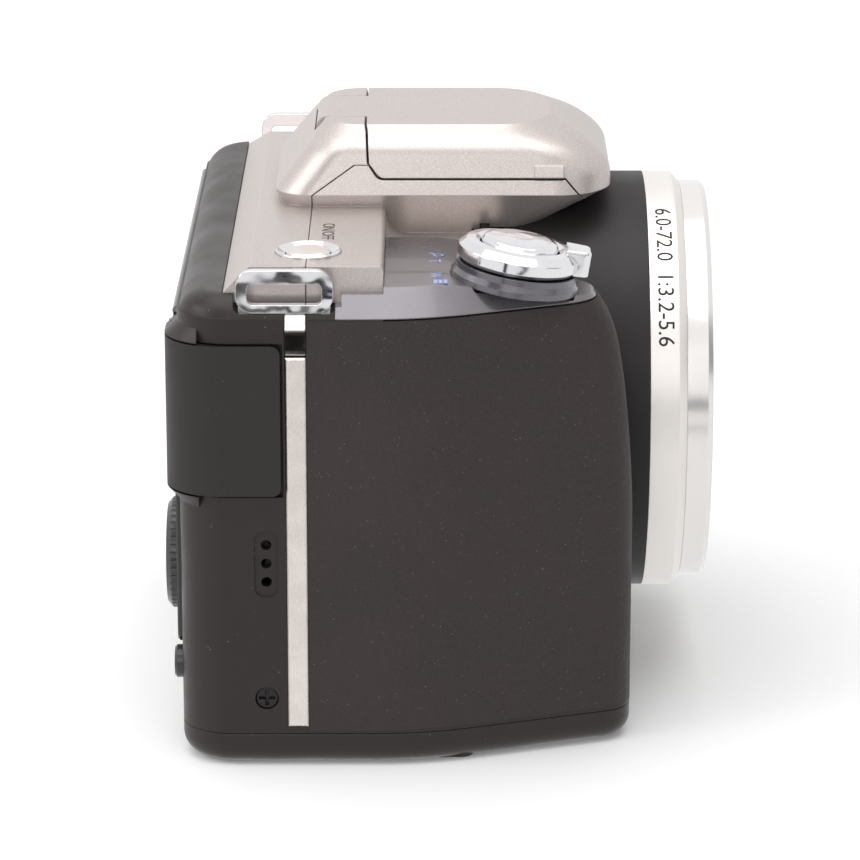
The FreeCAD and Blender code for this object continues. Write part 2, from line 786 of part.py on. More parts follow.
inner_rear = hump_inside.common(block(-99, 99, pocket_rear_y, 99, pocket_floor_z, hinge_z - knuckle_reach - 2.2))
hump_fixed = hump_fixed.cut(group([pocket.common(hump_form(hump_wall).fuse(block(-pocket_half, pocket_half, -60, pocket_rear_y, pocket_floor_z, head_low_z)))]))
hump_fixed = hump_fixed.cut(inner_rear).cut(pin_seat)
whole_top = deck.fuse(hump_fixed).cut(under_space).cut(barrel_space).removeSplitter()
seam_side = [(deck_seam_y, 0, 0), (deck_seam_y, hump_crease_z, 0), (head_rear_y + 2.2, hump_seam_z, 0),
             (head_rear_y, hump_seam_z, 0), (head_rear_y, 99, 0), (99, 99, 0), (99, 0, 0)][::-1]
rear_piece = prism_x(seam_side, -99, 99)
power_hole = Part.makeCylinder(power_bezel_r + seat_gap, 9, point(power_x, power_y, deck_z - 3.0))
keep("deck_rear", whole_top.common(rear_piece).cut(power_hole))
seam_shift = point(0, -deck_seam_gap, -deck_seam_gap)
keep("deck_front", whole_top.cut(rear_piece).cut(rear_piece.translated(seam_shift)).cut(power_hole))

# Control panel on the grip's shoulder, with a sloping outer facet
panel_corners = casing_corners(0, lean_at(side_top_z))
panel = prism_z(panel_corners, panel_low_z, panel_top_z + 3)
panel_side = [(panel_back_y, panel_low_z, 0), (panel_back_y, panel_top_z, 0), (panel_bend_y, panel_top_z, 30.0),
              (nose_y - 2, panel_top_z - (panel_bend_y - nose_y + 2) * math.tan(math.radians(panel_fall_deg)), 0),
              (nose_y - 2, panel_low_z - 2, 0), (panel_bend_y, panel_low_z, 0)]
panel = panel.common(prism_x(panel_side, -99, panel_inner_x))
slant_wires = []
for height, draw_in in ((panel_low_z - 2.2, 0.0), (panel_low_z, 0.0), (panel_top_z, panel_chamfer), (panel_top_z + 0.4, panel_chamfer + 0.6)):
    slant_wires.append(outline(inset_corners(panel_corners, draw_in), lambda u, v, h=height: point(u, v, h)))
panel = panel.common(Part.makeLoft(slant_wires, True, True))
panel_back = block(deck_near_x - seat_gap, 99, deck_front_y - seat_gap, 99, 0, 99)
high_back = block(-99, 99, deck_front_y, 99, panel_top_z - 0.9, 99)
strap_room = block(-99, 99, strap_front_y - 1.2, 99, panel_low_z + 1.6, 99)
panel = panel.cut(group([panel_back, high_back, strap_room]))
floor_zone = block(-99, panel_inner_x, -99, deck_front_y - seat_gap, panel_floor_z, panel_low_z)
panel = panel.fuse(casing_body(rubber_t + seat_gap, panel_floor_z, panel_low_z).common(floor_zone))
front = front.cut(block(-99, panel_inner_x + seat_gap, -99, deck_front_y, panel_floor_z - seat_gap, 99))
front = front.cut(block(-99, deck_near_x, -99, panel_back_y + seat_gap, panel_low_z, 99))

release_axis = point(0, -math.sin(math.radians(release_lean_deg)), math.cos(math.radians(release_lean_deg)))
release = point(release_x, release_y, release_z)


def along_release(height):
    return release + release_axis * height


def release_turned(profile, height=0.0):
    return turned(profile, along_release(height), release_axis)


collar_top = collar_height
collar = release_turned([(lever_hub_r + 0.5, -collar_sink), (collar_foot_r - 1.0, -collar_sink),
                         (collar_foot_r, -collar_sink + 0.5), (collar_foot_r, -0.6), (collar_r, 0.2),
                         (collar_r, collar_top), (lever_hub_r + 0.5, collar_top)])
collar_pit = release_turned([(0, -collar_sink - 0.05), (collar_foot_r + seat_gap, -collar_sink - 0.05),
                             (collar_foot_r + seat_gap, 9), (0, 9)])
switch_bay_floor = -collar_sink - switch_bay_depth
switch_bay = release_turned([(0, switch_bay_floor), (switch_bay_r, switch_bay_floor), (switch_bay_r, -collar_sink),
                             (0, -collar_sink)])
panel = panel.cut(group([collar_pit, switch_bay]))
keep("control_panel", panel)
keep("zoom_collar", collar)

lever_low = collar_top + button_gap
lever_top = lever_low + lever_height
lever = release_turned([(shutter_r + button_gap, lever_low + 0.6), (shutter_r + button_gap, lever_low),
                        (lever_r - 0.5, lever_low), (lever_r, lever_low + 0.6), (lever_r, lever_top - 1.3),
                        (lever_r - 1.1, lever_top - 0.3), (shutter_r + 0.9, lever_top - 0.1),
                        (shutter_r + button_gap, lever_top - 0.7)])
lever_floor = release_turned([(lever_hub_r - 0.6, lever_low), (shutter_r + 1.0, lever_low),
                              (shutter_r + 1.0, lever_low + 0.6), (lever_hub_r - 0.6, lever_low + 0.6)])
lever_sleeve = release_turned([(lever_hub_r - 0.6, -collar_sink + 0.3), (lever_hub_r, -collar_sink + 0.3),
                               (lever_hub_r, lever_low + 0.3), (lever_hub_r - 0.6, lever_low + 0.3)])
finger_corners = [(-tab_half_width, -lever_r + 2.2, 0), (-tab_half_width * 0.8, -tab_reach, 1.2),
                  (tab_half_width * 0.8, -tab_reach, 1.2), (tab_half_width, -lever_r + 2.2, 0)]
finger = prism_z(finger_corners, lever_low, lever_top + 0.5)
finger = finger.makeFillet(0.5, [e for e in finger.Edges if e.BoundBox.ZMin > lever_top + 0.45 and e.BoundBox.YMin < -lever_r])
finger.Placement = FreeCAD.Placement(release, FreeCAD.Rotation(point(0, 0, 1), release_axis))
inner_clear = release_turned([(0, lever_low - 1), (shutter_r + button_gap, lever_low - 1),
                              (shutter_r + button_gap, 99), (0, 99)])
keep("zoom_lever", joined([lever, finger.cut(inner_clear), lever_floor, lever_sleeve]))

shutter_low = lever_low + 0.6 + shutter_travel + 0.15
shutter_top = lever_top + shutter_height - 0.9
stem_r = lever_hub_r - 0.6 - shaft_gap
shutter = release_turned([(0, shutter_low), (shutter_r, shutter_low), (shutter_r, shutter_top - 0.8),
                          (shutter_r - 0.35, shutter_top - 0.3), (shutter_r - 1.2, shutter_top),
                          (2.0, shutter_top + 0.15), (0, shutter_top + 0.15)])
shutter_stem = release_turned([(0, -collar_sink + 0.6), (stem_r, -collar_sink + 0.6), (stem_r, shutter_low + 0.2), (0, shutter_low + 0.2)])
keep("shutter_button", joined([shutter, shutter_stem]))
switch_top = -collar_sink - 0.55
switch = Part.makeBox(5, 5, 1.6, point(-2.5, -2.5, switch_top - 1.6))
switch.Placement = FreeCAD.Placement(release, FreeCAD.Rotation(point(0, 0, 1), release_axis))

# Power button in its dished bezel
power = point(power_x, power_y, deck_z)
up = point(0, 0, 1)
bezel = turned([(power_button_r + button_gap, -3.0), (power_bezel_r, -3.0), (power_bezel_r, power_bezel_proud - 0.2),
                (power_bezel_r - 0.25, power_bezel_proud), (power_button_r + button_gap + 0.3, -0.35),
                (power_button_r + button_gap, -0.35)], power, up)
keep("power_bezel", bezel)
power_foot = 3.4
keep("power_button", turned([(0, -power_foot), (power_button_r, -power_foot), (power_button_r, 0.1),
                             (power_button_r - 0.3, 0.35), (0, 0.45)], power, up))
switch_top_z = deck_z - power_foot - power_travel - 0.15
power_switch = block(power_x - 2.2, power_x + 2.2, power_y - 2.2, power_y + 2.2, switch_top_z - 1.2, switch_top_z)
keep("top_switches", group([switch, power_switch]))

# Lens: fixed barrel, two fixed rings, two telescoping stages and their glass
bore_r = barrel_r - barrel_wall
flange_start_y = front_y + wall + rubber_t + 0.02
stage_one_r = front_ring_mouth_r - 0.35 - stage_gap
stage_one_bore = stage_one_r - stage_wall
stage_two_r = stage_one_bore - stage_gap
stage_two_bore = stage_two_r - stage_wall
keep("lens_barrel", lens_turned([
    (bore_r, flange_end_y), (barrel_r - 1.0 + barrel_flange, flange_end_y),
    (barrel_r - 1.0 + barrel_flange, flange_start_y), (barrel_r - barrel_wall - seat_gap, flange_start_y),
    (barrel_r - barrel_wall - seat_gap, front_y - 0.02), (barrel_r, front_y - 0.02), (barrel_r, barrel_front_y),
    (barrel_r - 0.8, barrel_front_y), (barrel_r - 0.8, barrel_front_y - 1.0), (stage_one_r + stage_gap, barrel_front_y - 1.0),
    (stage_one_r + stage_gap, barrel_front_y + 1.6), (bore_r - 1.4, barrel_front_y + 3.0), (bore_r - 1.4, flange_end_y)]))
keep("lens_number_ring", lens_turned([
    (barrel_r - 0.8 + seat_gap, barrel_front_y - 0.02), (barrel_r, barrel_front_y - 0.02), (barrel_r, number_ring_end_y),
    (front_ring_r + 0.05, number_ring_chamfer_y), (stage_one_r + stage_gap, number_ring_chamfer_y),
    (stage_one_r + stage_gap, barrel_front_y - 1.05), (barrel_r - 0.8 + seat_gap, barrel_front_y - 1.05)]))
keep("lens_front_ring", lens_turned([
    (stage_one_r + stage_gap, number_ring_chamfer_y - 0.02), (front_ring_r, number_ring_chamfer_y - 0.02),
    (front_ring_r, front_ring_end_y), (front_ring_mouth_r + 0.9, lens_front_y), (front_ring_mouth_r, lens_front_y),
    (stage_one_r + stage_gap, front_ring_end_y - 0.2)]))
stage_one_rear_y = stage_one_front_y + stage_one_length
keep("lens_stage_one", lens_turned([
    (stage_one_r, stage_one_front_y + 0.3), (stage_one_r - 0.3, stage_one_front_y), (stage_two_r + stage_gap, stage_one_front_y),
    (stage_two_r + stage_gap, stage_one_front_y + 2.4), (stage_one_bore, stage_one_front_y + 3.0),
    (stage_one_bore, stage_one_rear_y), (stage_one_r, stage_one_rear_y)]))
stage_two_rear_y = stage_two_front_y + stage_two_length
keep("lens_stage_two", lens_turned([
    (stage_two_r, stage_two_front_y + 0.4), (stage_two_r - 0.4, stage_two_front_y), (front_glass_r + 1.2, stage_two_front_y + 0.2),
    (front_glass_r + 0.05, stage_two_front_y + 1.6), (front_glass_r + 0.05, glass_seat_y), (stage_two_bore, glass_seat_y),
    (stage_two_bore, stage_two_rear_y), (stage_two_r, stage_two_rear_y)]))


def biconvex(radius, front, edge_t, front_bulge, rear_bulge):
    """A lens element: a disc with a spherical dome on each face."""
    rear = front + front_bulge + edge_t + rear_bulge
    front_ball_r = (radius ** 2 + front_bulge ** 2) / (2 * front_bulge)
    rear_ball_r = (radius ** 2 + rear_bulge ** 2) / (2 * rear_bulge)
    disc = Part.makeCylinder(radius, rear - front, point(0, front, lens_z), point(0, 1, 0))
    disc = disc.common(Part.makeSphere(front_ball_r, point(0, front + front_ball_r, lens_z)))
    return disc.common(Part.makeSphere(rear_ball_r, point(0, rear - rear_ball_r, lens_z)))


keep("front_lens_element", biconvex(front_glass_r, glass_front_y, 2.6, 2.6, 1.2))
keep("front_lens_cell", lens_turned([
    (front_glass_r - 1.4, glass_front_y + 6.2), (stage_two_bore - 0.02, glass_front_y + 6.2), (stage_two_bore - 0.02, glass_seat_y + 0.02),
    (front_glass_r + 0.05, glass_seat_y + 0.02), (front_glass_r + 0.05, glass_front_y + 5.5), (front_glass_r - 1.4, glass_front_y + 5.5)]))
middle_cell = lens_turned([(rear_glass_r + 0.05, -34), (stage_two_bore - 0.02, -34), (stage_two_bore - 0.02, -32.5), (rear_glass_r + 3, -32.5),
                 (rear_glass_r + 3, -27), (rear_glass_r + 0.05, -27)])
keep("middle_lens_group", group([middle_cell, biconvex(rear_glass_r, -33.6, 1.6, 0.9, 0.9), biconvex(rear_glass_r, -30.1, 1.2, 0.3, 0.8)]))

# Rear plate of the lens, with the sensor behind it
plate_rear_y = lens_plate_y + lens_plate_t
lens_plate = lens_turned([(9.2, lens_plate_y), (lens_base_r, lens_plate_y), (lens_base_r, plate_rear_y), (9.2, plate_rear_y)])
lens_tube = lens_turned([
    (lens_base_r - 1.6, flange_end_y + 0.02), (base_flange_r, flange_end_y + 0.02), (base_flange_r, flange_end_y + lens_flange_t),
    (lens_base_r, flange_end_y + lens_flange_t), (lens_base_r, lens_plate_y + 0.1), (lens_base_r - 1.6, lens_plate_y + 0.1)])
holder_side = Part.makeBox(30, 40, 100, point(lens_flange_cut_x - 30, -20, -6))
keep("lens_base", joined([lens_plate, lens_tube]).cut(holder_side))
keep("rear_lens_element", biconvex(9.15, lens_plate_y + 0.1, 1.2, 0.5, 0.4))

# Connector cover, a soft flap that wraps the rear corner, over two sockets in a recess


def corner_shell(inset_out, inset_in, low, high):
    return prism_z(casing_corners(inset_out), low, high).cut(prism_z(casing_corners(inset_in), low - 1, high + 1))


def cover_zone(gap):
    side = block(-99, cover_rear_x + gap, cover_front_y - gap, 99, cover_low_z - gap, cover_top_z + gap)
    return side


flap = corner_shell(-cover_proud, cover_t - cover_proud + 0.2, cover_low_z, cover_top_z).common(cover_zone(0))
rear_shift = point(0, cover_rear_proud - cover_proud, 0)
flap = flap.fuse(flap.translated(rear_shift).common(cover_zone(0))).removeSplitter()
front_edges = [e for e in flap.Edges if e.BoundBox.YMax < cover_front_y + 0.01 and e.BoundBox.XMax - e.BoundBox.XMin > 1
               and e.BoundBox.ZMax - e.BoundBox.ZMin < 0.1]
flap = flap.makeFillet(cover_corner_r, front_edges)
flap_recess = corner_shell(-2, cover_t - cover_proud + 0.2 + seat_gap, cover_low_z - running_gap,
                           cover_top_z + running_gap).common(cover_zone(running_gap))
hinge_place = point(cover_hinge_x, rear_y + cover_rear_proud - cover_hinge_r, cover_low_z)
flap_knuckle = Part.makeCylinder(cover_hinge_r, cover_top_z - cover_low_z, hinge_place, up)
flap_arm = block(cover_rear_x - 1.0, cover_hinge_x, rear_y + cover_rear_proud - 1.1, rear_y + cover_rear_proud, cover_low_z, cover_top_z)
flap_pin_hole = Part.makeCylinder(0.4 + shaft_gap, cover_top_z - cover_low_z + 2, hinge_place - up, up)
keep("connector_cover", joined([flap, flap_knuckle, flap_arm]).cut(flap_pin_hole))
cover_pin = Part.makeCylinder(0.4, cover_top_z - cover_low_z + 2.6, hinge_place - up * 1.3, up)
pin_socket = Part.makeCylinder(0.41, cover_top_z - cover_low_z + 2.6, hinge_place - up * 1.3, up)
knuckle_room = Part.makeCylinder(cover_hinge_r + running_gap, cover_top_z - cover_low_z + 2 * running_gap, hinge_place - up * running_gap, up)
arm_room = block(cover_rear_x - 1.2, cover_hinge_x, rear_y - 1.0, 99, cover_low_z - running_gap, cover_top_z + running_gap)
# A thicker wall behind the flap carries the sockets and the hinge pin


def corner_lip(foot_z, edge_z):
    """A lip that flares from the casing's face out to the cover's face."""
    foot = outline(casing_corners(0.15), lambda u, v: point(u, v, foot_z))
    proud = [(x, y + rear_shift.y, r) for x, y, r in casing_corners(-cover_proud)]
    edge = outline(proud, lambda u, v: point(u, v, edge_z))
    lip = Part.makeLoft([foot, edge] if foot_z < edge_z else [edge, foot], True, True)
    low = min(foot_z, edge_z)
    lip = lip.common(block(-99, cover_hinge_x + cover_hinge_r, cover_lip_y, 99, low, low + 9))
    return lip.cut(prism_z(casing_corners(1.2), low - 1, low + 9))


lips = [corner_lip(cover_low_z - running_gap - cover_lip, cover_low_z - running_gap),
        corner_lip(cover_top_z + running_gap + cover_lip, cover_top_z + running_gap)]
pillar = prism_z(casing_corners(0.6), cover_low_z - 3, cover_top_z + 3).common(
    block(-99, -46.5, cover_front_y + 1.2, 99, 0, 99)).cut(block(-54.5, 0, 0, rear_y - 4.2, 0, 99))
rear = rear.fuse([pillar] + lips)
socket_low = (cover_low_z + 3.2, cover_low_z + 13.4)
video = rounded_block_x(socket_y - 1.9, socket_y + 1.9, socket_low[0], socket_low[0] + 8.6, 0.8, grip_side_x + socket_sink, grip_side_x + socket_sink + 4.4)
data = rounded_block_x(socket_y - 1.5, socket_y + 1.5, socket_low[1], socket_low[1] + 6.8, 0.8, grip_side_x + socket_sink, grip_side_x + socket_sink + 4.4)


def socket(outer, slot_half, low, high):
    mouth = rounded_block_x(socket_y - slot_half, socket_y + slot_half, low + 0.45, high - 0.45, 0.5,
                            grip_side_x, grip_side_x + socket_sink + 3.4)
    tongue_piece = block(grip_side_x + socket_sink + 0.8, grip_side_x + socket_sink + 4.0, socket_y - 0.35, socket_y + 0.35,
                         low + 1.6, high - 1.6)
    return outer.cut(mouth).fuse(tongue_piece)


rear = rear.cut(group([flap_recess, knuckle_room, arm_room, pin_socket]))
socket_room = rounded_block_x(socket_y - 2.8, socket_y + 2.8, cover_low_z + 2.2, cover_top_z - 1.6, 1.0, grip_side_x - 1, grip_side_x + socket_sink)
rear = rear.cut(group([socket_room, video, data]))
keep("connector_sockets", group([socket(video, 1.45, socket_low[0], socket_low[0] + 8.6),
                                 socket(data, 1.05, socket_low[1], socket_low[1] + 6.8)]))

# Speaker: a shallow rounded dish with three holes, and the driver behind it
dish = rounded_block_x(speaker_y - 1.8, speaker_y + 1.8, speaker_zs[0] - 2.4, speaker_zs[2] + 2.4, 1.6, grip_side_x - 1, grip_side_x + 0.35)
holes = [Part.makeCylinder(speaker_hole_r, 6, point(grip_side_x - 1, speaker_y, z), point(1, 0, 0)) for z in speaker_zs]
rear = rear.cut(group([dish] + holes))
speaker_back = grip_side_x + wall + 0.4
keep("speaker", joined([turned([(0, 0.9), (2.0, 0.9), (2.4, 0), (3.9, 0), (3.9, 2.8), (0, 2.8)],
                               point(speaker_back + 0.25, speaker_y + 2.6, speaker_zs[1]), point(1, 0, 0))]))

# Side screw in its sink, one on each side
side_screws = [cross_screw(point(grip_side_x + 0.35, side_screw_y, side_screw_z), point(1, 0, 0)),
               cross_screw(point(far_side_x - 0.35, side_screw_y, side_screw_z), point(-1, 0, 0))]
for end_x, inward in ((grip_side_x, 1), (far_side_x, -1)):
    sink = rod(point(end_x - inward, side_screw_y, side_screw_z), point(end_x + inward * 1.25, side_screw_y, side_screw_z), screw_head_r + 0.15)
    shaft_hole = rod(point(end_x, side_screw_y, side_screw_z), point(end_x + inward * 7, side_screw_y, side_screw_z), screw_shank_r + 0.02)
    screw_boss = rod(point(end_x + inward * 1.0, side_screw_y, side_screw_z), point(end_x + inward * 7, side_screw_y, side_screw_z), screw_shank_r + 0.75)
    rear = rear.fuse(screw_boss).cut(group([sink, shaft_hole]))
keep("casing_screws", group(base_screws + side_screws))

# Rear plate with the display window, the ribbed wheel and the buttons
plate_back_y = rear_y
plate_face_y = rear_y + panel_plate_t
plate = rounded_block_y(rear_plate_near_x, rear_plate_far_x, rear_plate_low_z, rear_plate_top_z, 2.0, plate_back_y + 0.01, plate_face_y)
plate = plate.makeChamfer(0.3, [e for e in plate.Edges if e.BoundBox.YMin > plate_face_y - 0.01])
plate = plate.cut(block(-99, cover_hinge_x + cover_hinge_r + running_gap, 0, 99, cover_low_z - cover_lip - 0.4, cover_top_z + cover_lip + 0.4))
window_hole = rounded_block_y(window_near_x - seat_gap, window_far_x + seat_gap, window_low_z - seat_gap, window_high_z + seat_gap, 1.5, 0, 99)
button_centres = {
    "movie_button": (movie_x, movie_z), "playback_button": (playback_x, playback_z), "menu_button": (wheel_x + button_spread, lower_button_z),
    "delete_button": (wheel_x - button_spread, lower_button_z),
}
button_holes = [Part.makeCylinder(small_button_r + button_gap, 20, point(x, rear_y - 10, z), point(0, 1, 0)) for x, z in button_centres.values()]
wheel_hole = Part.makeCylinder(wheel_r + running_gap, 20, point(wheel_x, rear_y - 10, wheel_z), point(0, 1, 0))
plate_holes = group([window_hole, wheel_hole] + button_holes)
keep("rear_plate", plate.cut(plate_holes))
keep("display_window", rounded_block_y(window_near_x, window_far_x, window_low_z, window_high_z, 1.5, rear_y - 0.25, plate_face_y - 0.1))
display_room = block(window_near_x - 1.5, window_far_x + 1.5, rear_y - display_t - 0.2, rear_y - 0.25, window_low_z - 2, window_high_z + 1.5)
window_room = rounded_block_y(window_near_x - seat_gap, window_far_x + seat_gap, window_low_z - seat_gap, window_high_z + seat_gap, 1.5, rear_y - 0.3, 99)
keep("display_module", block(window_near_x - 1.3, window_far_x + 1.3, rear_y - display_t - 0.05, rear_y - 0.3, window_low_z - 1.8, window_high_z + 1.3))
wheel_pit = Part.makeCylinder(wheel_r + running_gap, 20, point(wheel_x, rear_y - wheel_sink, wheel_z), point(0, 1, 0))
rear = rear.cut(group([display_room, window_room, wheel_pit] + button_holes))

wheel_profile = [(wheel_bore_r, 0), (wheel_r - 0.4, 0), (wheel_r, 0.5), (wheel_r, wheel_t - 0.8), (wheel_r - 0.9, wheel_t), (wheel_bore_r + 0.5, wheel_t - 0.2), (wheel_bore_r, wheel_t - 0.6)]
wheel_base_y = rear_y + wheel_proud - wheel_t
wheel = turned(wheel_profile, point(wheel_x, wheel_base_y, wheel_z), point(0, 1, 0))
ribs = []
for i in range(wheel_ribs):
    angle = math.radians(i * 360.0 / wheel_ribs)
    groove = Part.makeCylinder(0.28, wheel_t + 1, point(wheel_x + (wheel_r + 0.06) * math.cos(angle), wheel_base_y - 0.5, wheel_z + (wheel_r + 0.06) * math.sin(angle)), point(0, 1, 0))
    ribs.append(groove)
keep("control_wheel", wheel.cut(group(ribs)))
hub_height = rear_y + wheel_proud - 0.9 - board_face_y
hub = turned([(ok_stem_r + button_gap, 0.02), (wheel_r - 0.5, 0.02), (wheel_r - 0.5, wheel_base_y - board_face_y - 0.08),
              (wheel_bore_r - shaft_gap, wheel_base_y - board_face_y - 0.08), (wheel_bore_r - shaft_gap, hub_height),
              (ok_stem_r + button_gap, hub_height)], point(wheel_x, board_face_y, wheel_z), point(0, 1, 0))
keep("wheel_hub", hub)


def rear_button(radius, face_y, x, z):
    """A round key whose stem stops short of the key board by its travel."""
    length = face_y - board_face_y - button_travel - 0.1
    return turned([(0, -length), (radius, -length), (radius, -0.35), (radius - 0.35, 0), (0, 0.1)],
                  point(x, face_y, z), point(0, 1, 0))


keep("ok_button", rear_button(ok_stem_r, rear_y + wheel_proud - 0.1, wheel_x, wheel_z))
for name, (x, z) in button_centres.items():
    keep(name, rear_button(small_button_r, plate_face_y + button_proud, x, z))

# Battery door with its hinge pin and sliding catch
door_axis_x = door_inner_x - running_gap - door_axis_z
edge_r = door_axis_z - 0.01
door_side = [(door_outer_x, 0, 0), (door_axis_x + door_axis_z, 0, edge_r), (door_axis_x + door_axis_z, 2 * door_axis_z, edge_r),
             (door_outer_x, 2 * door_axis_z, 0)]
door = prism_y(door_side, door_front_y, door_rear_y).common(prism_z(door_outline(running_gap), 0, 2 * door_axis_z))
door_pin_room = Part.makeCylinder(door_pin_r + shaft_gap, 60, point(door_axis_x, -30, door_axis_z), point(0, 1, 0))
latch_well = block(latch_x - latch_length / 2 - seat_gap, latch_x + latch_length / 2 + latch_travel + seat_gap,
                   latch_y - latch_width / 2 - seat_gap, latch_y + latch_width / 2 + seat_gap, -1, latch_t + seat_gap)
keep("battery_door", door.cut(group([door_pin_room, latch_well])))
pin_overhang = 2.4
door_pin = Part.makeCylinder(door_pin_r, door_rear_y - door_front_y + 2 * pin_overhang,
                             point(door_axis_x, door_front_y - pin_overhang, door_axis_z), point(0, 1, 0))
keep("hinge_pins", group([flash_pin, cover_pin, door_pin]))
parts["base_plate"] = parts["base_plate"].cut(Part.makeCylinder(door_pin_r + 0.01, door_rear_y - door_front_y + 2 * pin_overhang,
                                              point(door_axis_x, door_front_y - pin_overhang, door_axis_z), point(0, 1, 0)))
latch = block(latch_x - latch_length / 2, latch_x + latch_length / 2, latch_y - latch_width / 2, latch_y + latch_width / 2, 0.05, latch_t)
ridge_cuts = [block(latch_x - 2.0 + i * 1.1, latch_x - 1.5 + i * 1.1, -9, 9 + latch_y, -1, 0.35) for i in range(4)]
keep("battery_latch", latch.cut(group(ridge_cuts)))

# Cells, their holder and contacts
cell_places = [(cell_x + i * cell_pitch, cell_y + j * cell_pitch) for i in (0, 1) for j in (0, 1)]
cells = []
for i, (x, y) in enumerate(cell_places):
    flip = (i + i // 2) % 2 == 1
    body = turned([(0, 0.4), (cell_r - 0.9, 0.4), (cell_r - 0.2, 0), (cell_r, 0.4), (cell_r, cell_length - 1.5),
                   (cell_r - 0.6, cell_length - 1.0), (cell_top_r, cell_length - 1.0), (cell_top_r, cell_length), (0, cell_length)],
                  point(x, y, cell_low_z + (cell_length if flip else 0)), point(0, 0, -1 if flip else 1))
    cells.append(body)
keep("battery_cells", group(cells))
holder_low_z = seam_z + 0.3
holder_top_z = cell_low_z + cell_length + 3.2
half_bay = cell_r + 0.25
holder = block(cell_x - half_bay - holder_wall, cell_x + cell_pitch + half_bay + holder_wall,
               cell_y - half_bay - holder_wall, cell_y + cell_pitch + half_bay + holder_wall, holder_low_z, holder_top_z)
bays = [Part.makeCylinder(half_bay, holder_top_z - 1.6 - holder_low_z + 1, point(x, y, holder_low_z - 1)) for x, y in cell_places]
holder = holder.common(casing_body(wall + rubber_t + 0.1, holder_low_z, holder_top_z)).cut(group(bays))


def contact_spring(x, y, low, high):
    """A conical contact: a stepped button standing for the closely wound spring."""
    return turned([(0, 0), (3.0, 0), (3.0, 0.5), (1.8, high - low), (0, high - low)], point(x, y, low), up)


top_contacts = [contact_spring(x, y, 0, 1.3).mirror(point(0, 0, 0.65), up) for x, y in cell_places]
for contact in top_contacts:
    contact.translate(point(0, 0, holder_top_z - 1.6 - 1.3 - 0.02))
keep("battery_holder", group([holder] + top_contacts))
door_contacts = [contact_spring(x, y, 0, cell_low_z - base_floor - 0.15) for x, y in cell_places]
for contact in door_contacts:
    contact.translate(point(0, 0, base_floor))
keep("door_contacts", group(door_contacts))

# Memory card in its slot, beside the cells and behind the same door
slot_high_z = card_low_z + card_length + 1.0
slot_body = block(card_x - card_t / 2 - 0.15 - slot_wall, card_x + card_t / 2 + 0.15 + slot_wall,
                  card_y - card_width / 2 - 0.15 - slot_wall, card_y + card_width / 2 + 0.15 + slot_wall, slot_low_z, slot_high_z)
slot_space = block(card_x - card_t / 2 - 0.15, card_x + card_t / 2 + 0.15, card_y - card_width / 2 - 0.15,
                   card_y + card_width / 2 + 0.15, 0, slot_high_z - slot_wall)
keep("card_slot", slot_body.cut(slot_space))
card = prism_x([(card_y - card_width / 2, card_low_z, 0.5), (card_y + card_width / 2, card_low_z, 0.5),
                (card_y + card_width / 2, card_low_z + card_length, 0.5), (card_y - card_width / 2 + 4, card_low_z + card_length, 0.5),
                (card_y - card_width / 2, card_low_z + card_length - 4, 0.5)], card_x - card_t / 2, card_x + card_t / 2)
keep("memory_card", card)

# Flash capacitor, upright in the nose of the grip
keep("flash_capacitor", turned([(0, 0), (capacitor_r - 0.4, 0), (capacitor_r, 0.4), (capacitor_r, capacitor_length - 2.4),
                                (capacitor_r - 0.3, capacitor_length - 2.0), (capacitor_r, capacitor_length - 1.6),
                                (capacitor_r, capacitor_length - 0.4), (capacitor_r - 0.4, capacitor_length), (0, capacitor_length)],
                               point(capacitor_x, capacitor_y, capacitor_z), up))

# Chassis plate behind the display, on posts of the rear casing, with the main board on standoffs
chassis_rear_y = rear_y - display_t - 0.05
chassis_front_y = chassis_rear_y - chassis_t
chassis = rounded_block_y(chassis_near_x, chassis_far_x, chassis_low_z, chassis_high_z, 2.0, chassis_front_y, chassis_rear_y)
fixings = [(x, z) for x in (chassis_near_x + 3.5, chassis_far_x - 3.5) for z in (chassis_low_z + 3.5, chassis_high_z - 13)]
for x, z in fixings:
    chassis = chassis.fuse(Part.makeCylinder(1.5, standoff, point(x, chassis_front_y - standoff, z), point(0, 1, 0)))
light_holes = [rounded_block_y(x, x + 9, 27.5, 47.5, 3.0, chassis_front_y - 1, chassis_rear_y + 1) for x in (-8, 8, 24)]
keep("chassis", chassis.cut(group(light_holes)))
post_places = [(chassis_near_x + 1.8, chassis_low_z + 3.5), (chassis_far_x - 1.8, chassis_low_z + 3.5),
               (chassis_far_x - 1.6, chassis_high_z - 20)]
for x, z in post_places:
    post = Part.makeCylinder(post_r, rear_y - 1.0 - chassis_rear_y, point(x, chassis_rear_y + 0.01, z), point(0, 1, 0))
    rear = rear.fuse(post.cut(display_room))
board_rear_y = chassis_front_y - standoff
main_board = rounded_block_y(chassis_near_x + 1.0, chassis_far_x - 1.0, chassis_low_z + 1.0, chassis_high_z - 9, 1.0,
                             board_rear_y - board_t, board_rear_y)
chip_sizes = [(-6, 40, 14), (14, 44, 9), (14, 28, 11), (31, 36, 7), (-8, 22, 6)]
chips = [block(x - s / 2, x + s / 2, board_rear_y - board_t - 1.1, board_rear_y - board_t, z - s / 2, z + s / 2) for x, z, s in chip_sizes]
keep("main_board", main_board.fuse(chips))
lower_key_board = block(wheel_x - 12.5, key_board_x, board_face_y - board_t, board_face_y, chassis_low_z + 0.1, cover_low_z - 3.6)
upper_key_board = block(cover_hinge_x + 3.4, key_board_x, board_face_y - board_t, board_face_y, chassis_low_z + 0.1, rear_plate_top_z - 3.5)
keep("key_board", joined([lower_key_board, upper_key_board]))

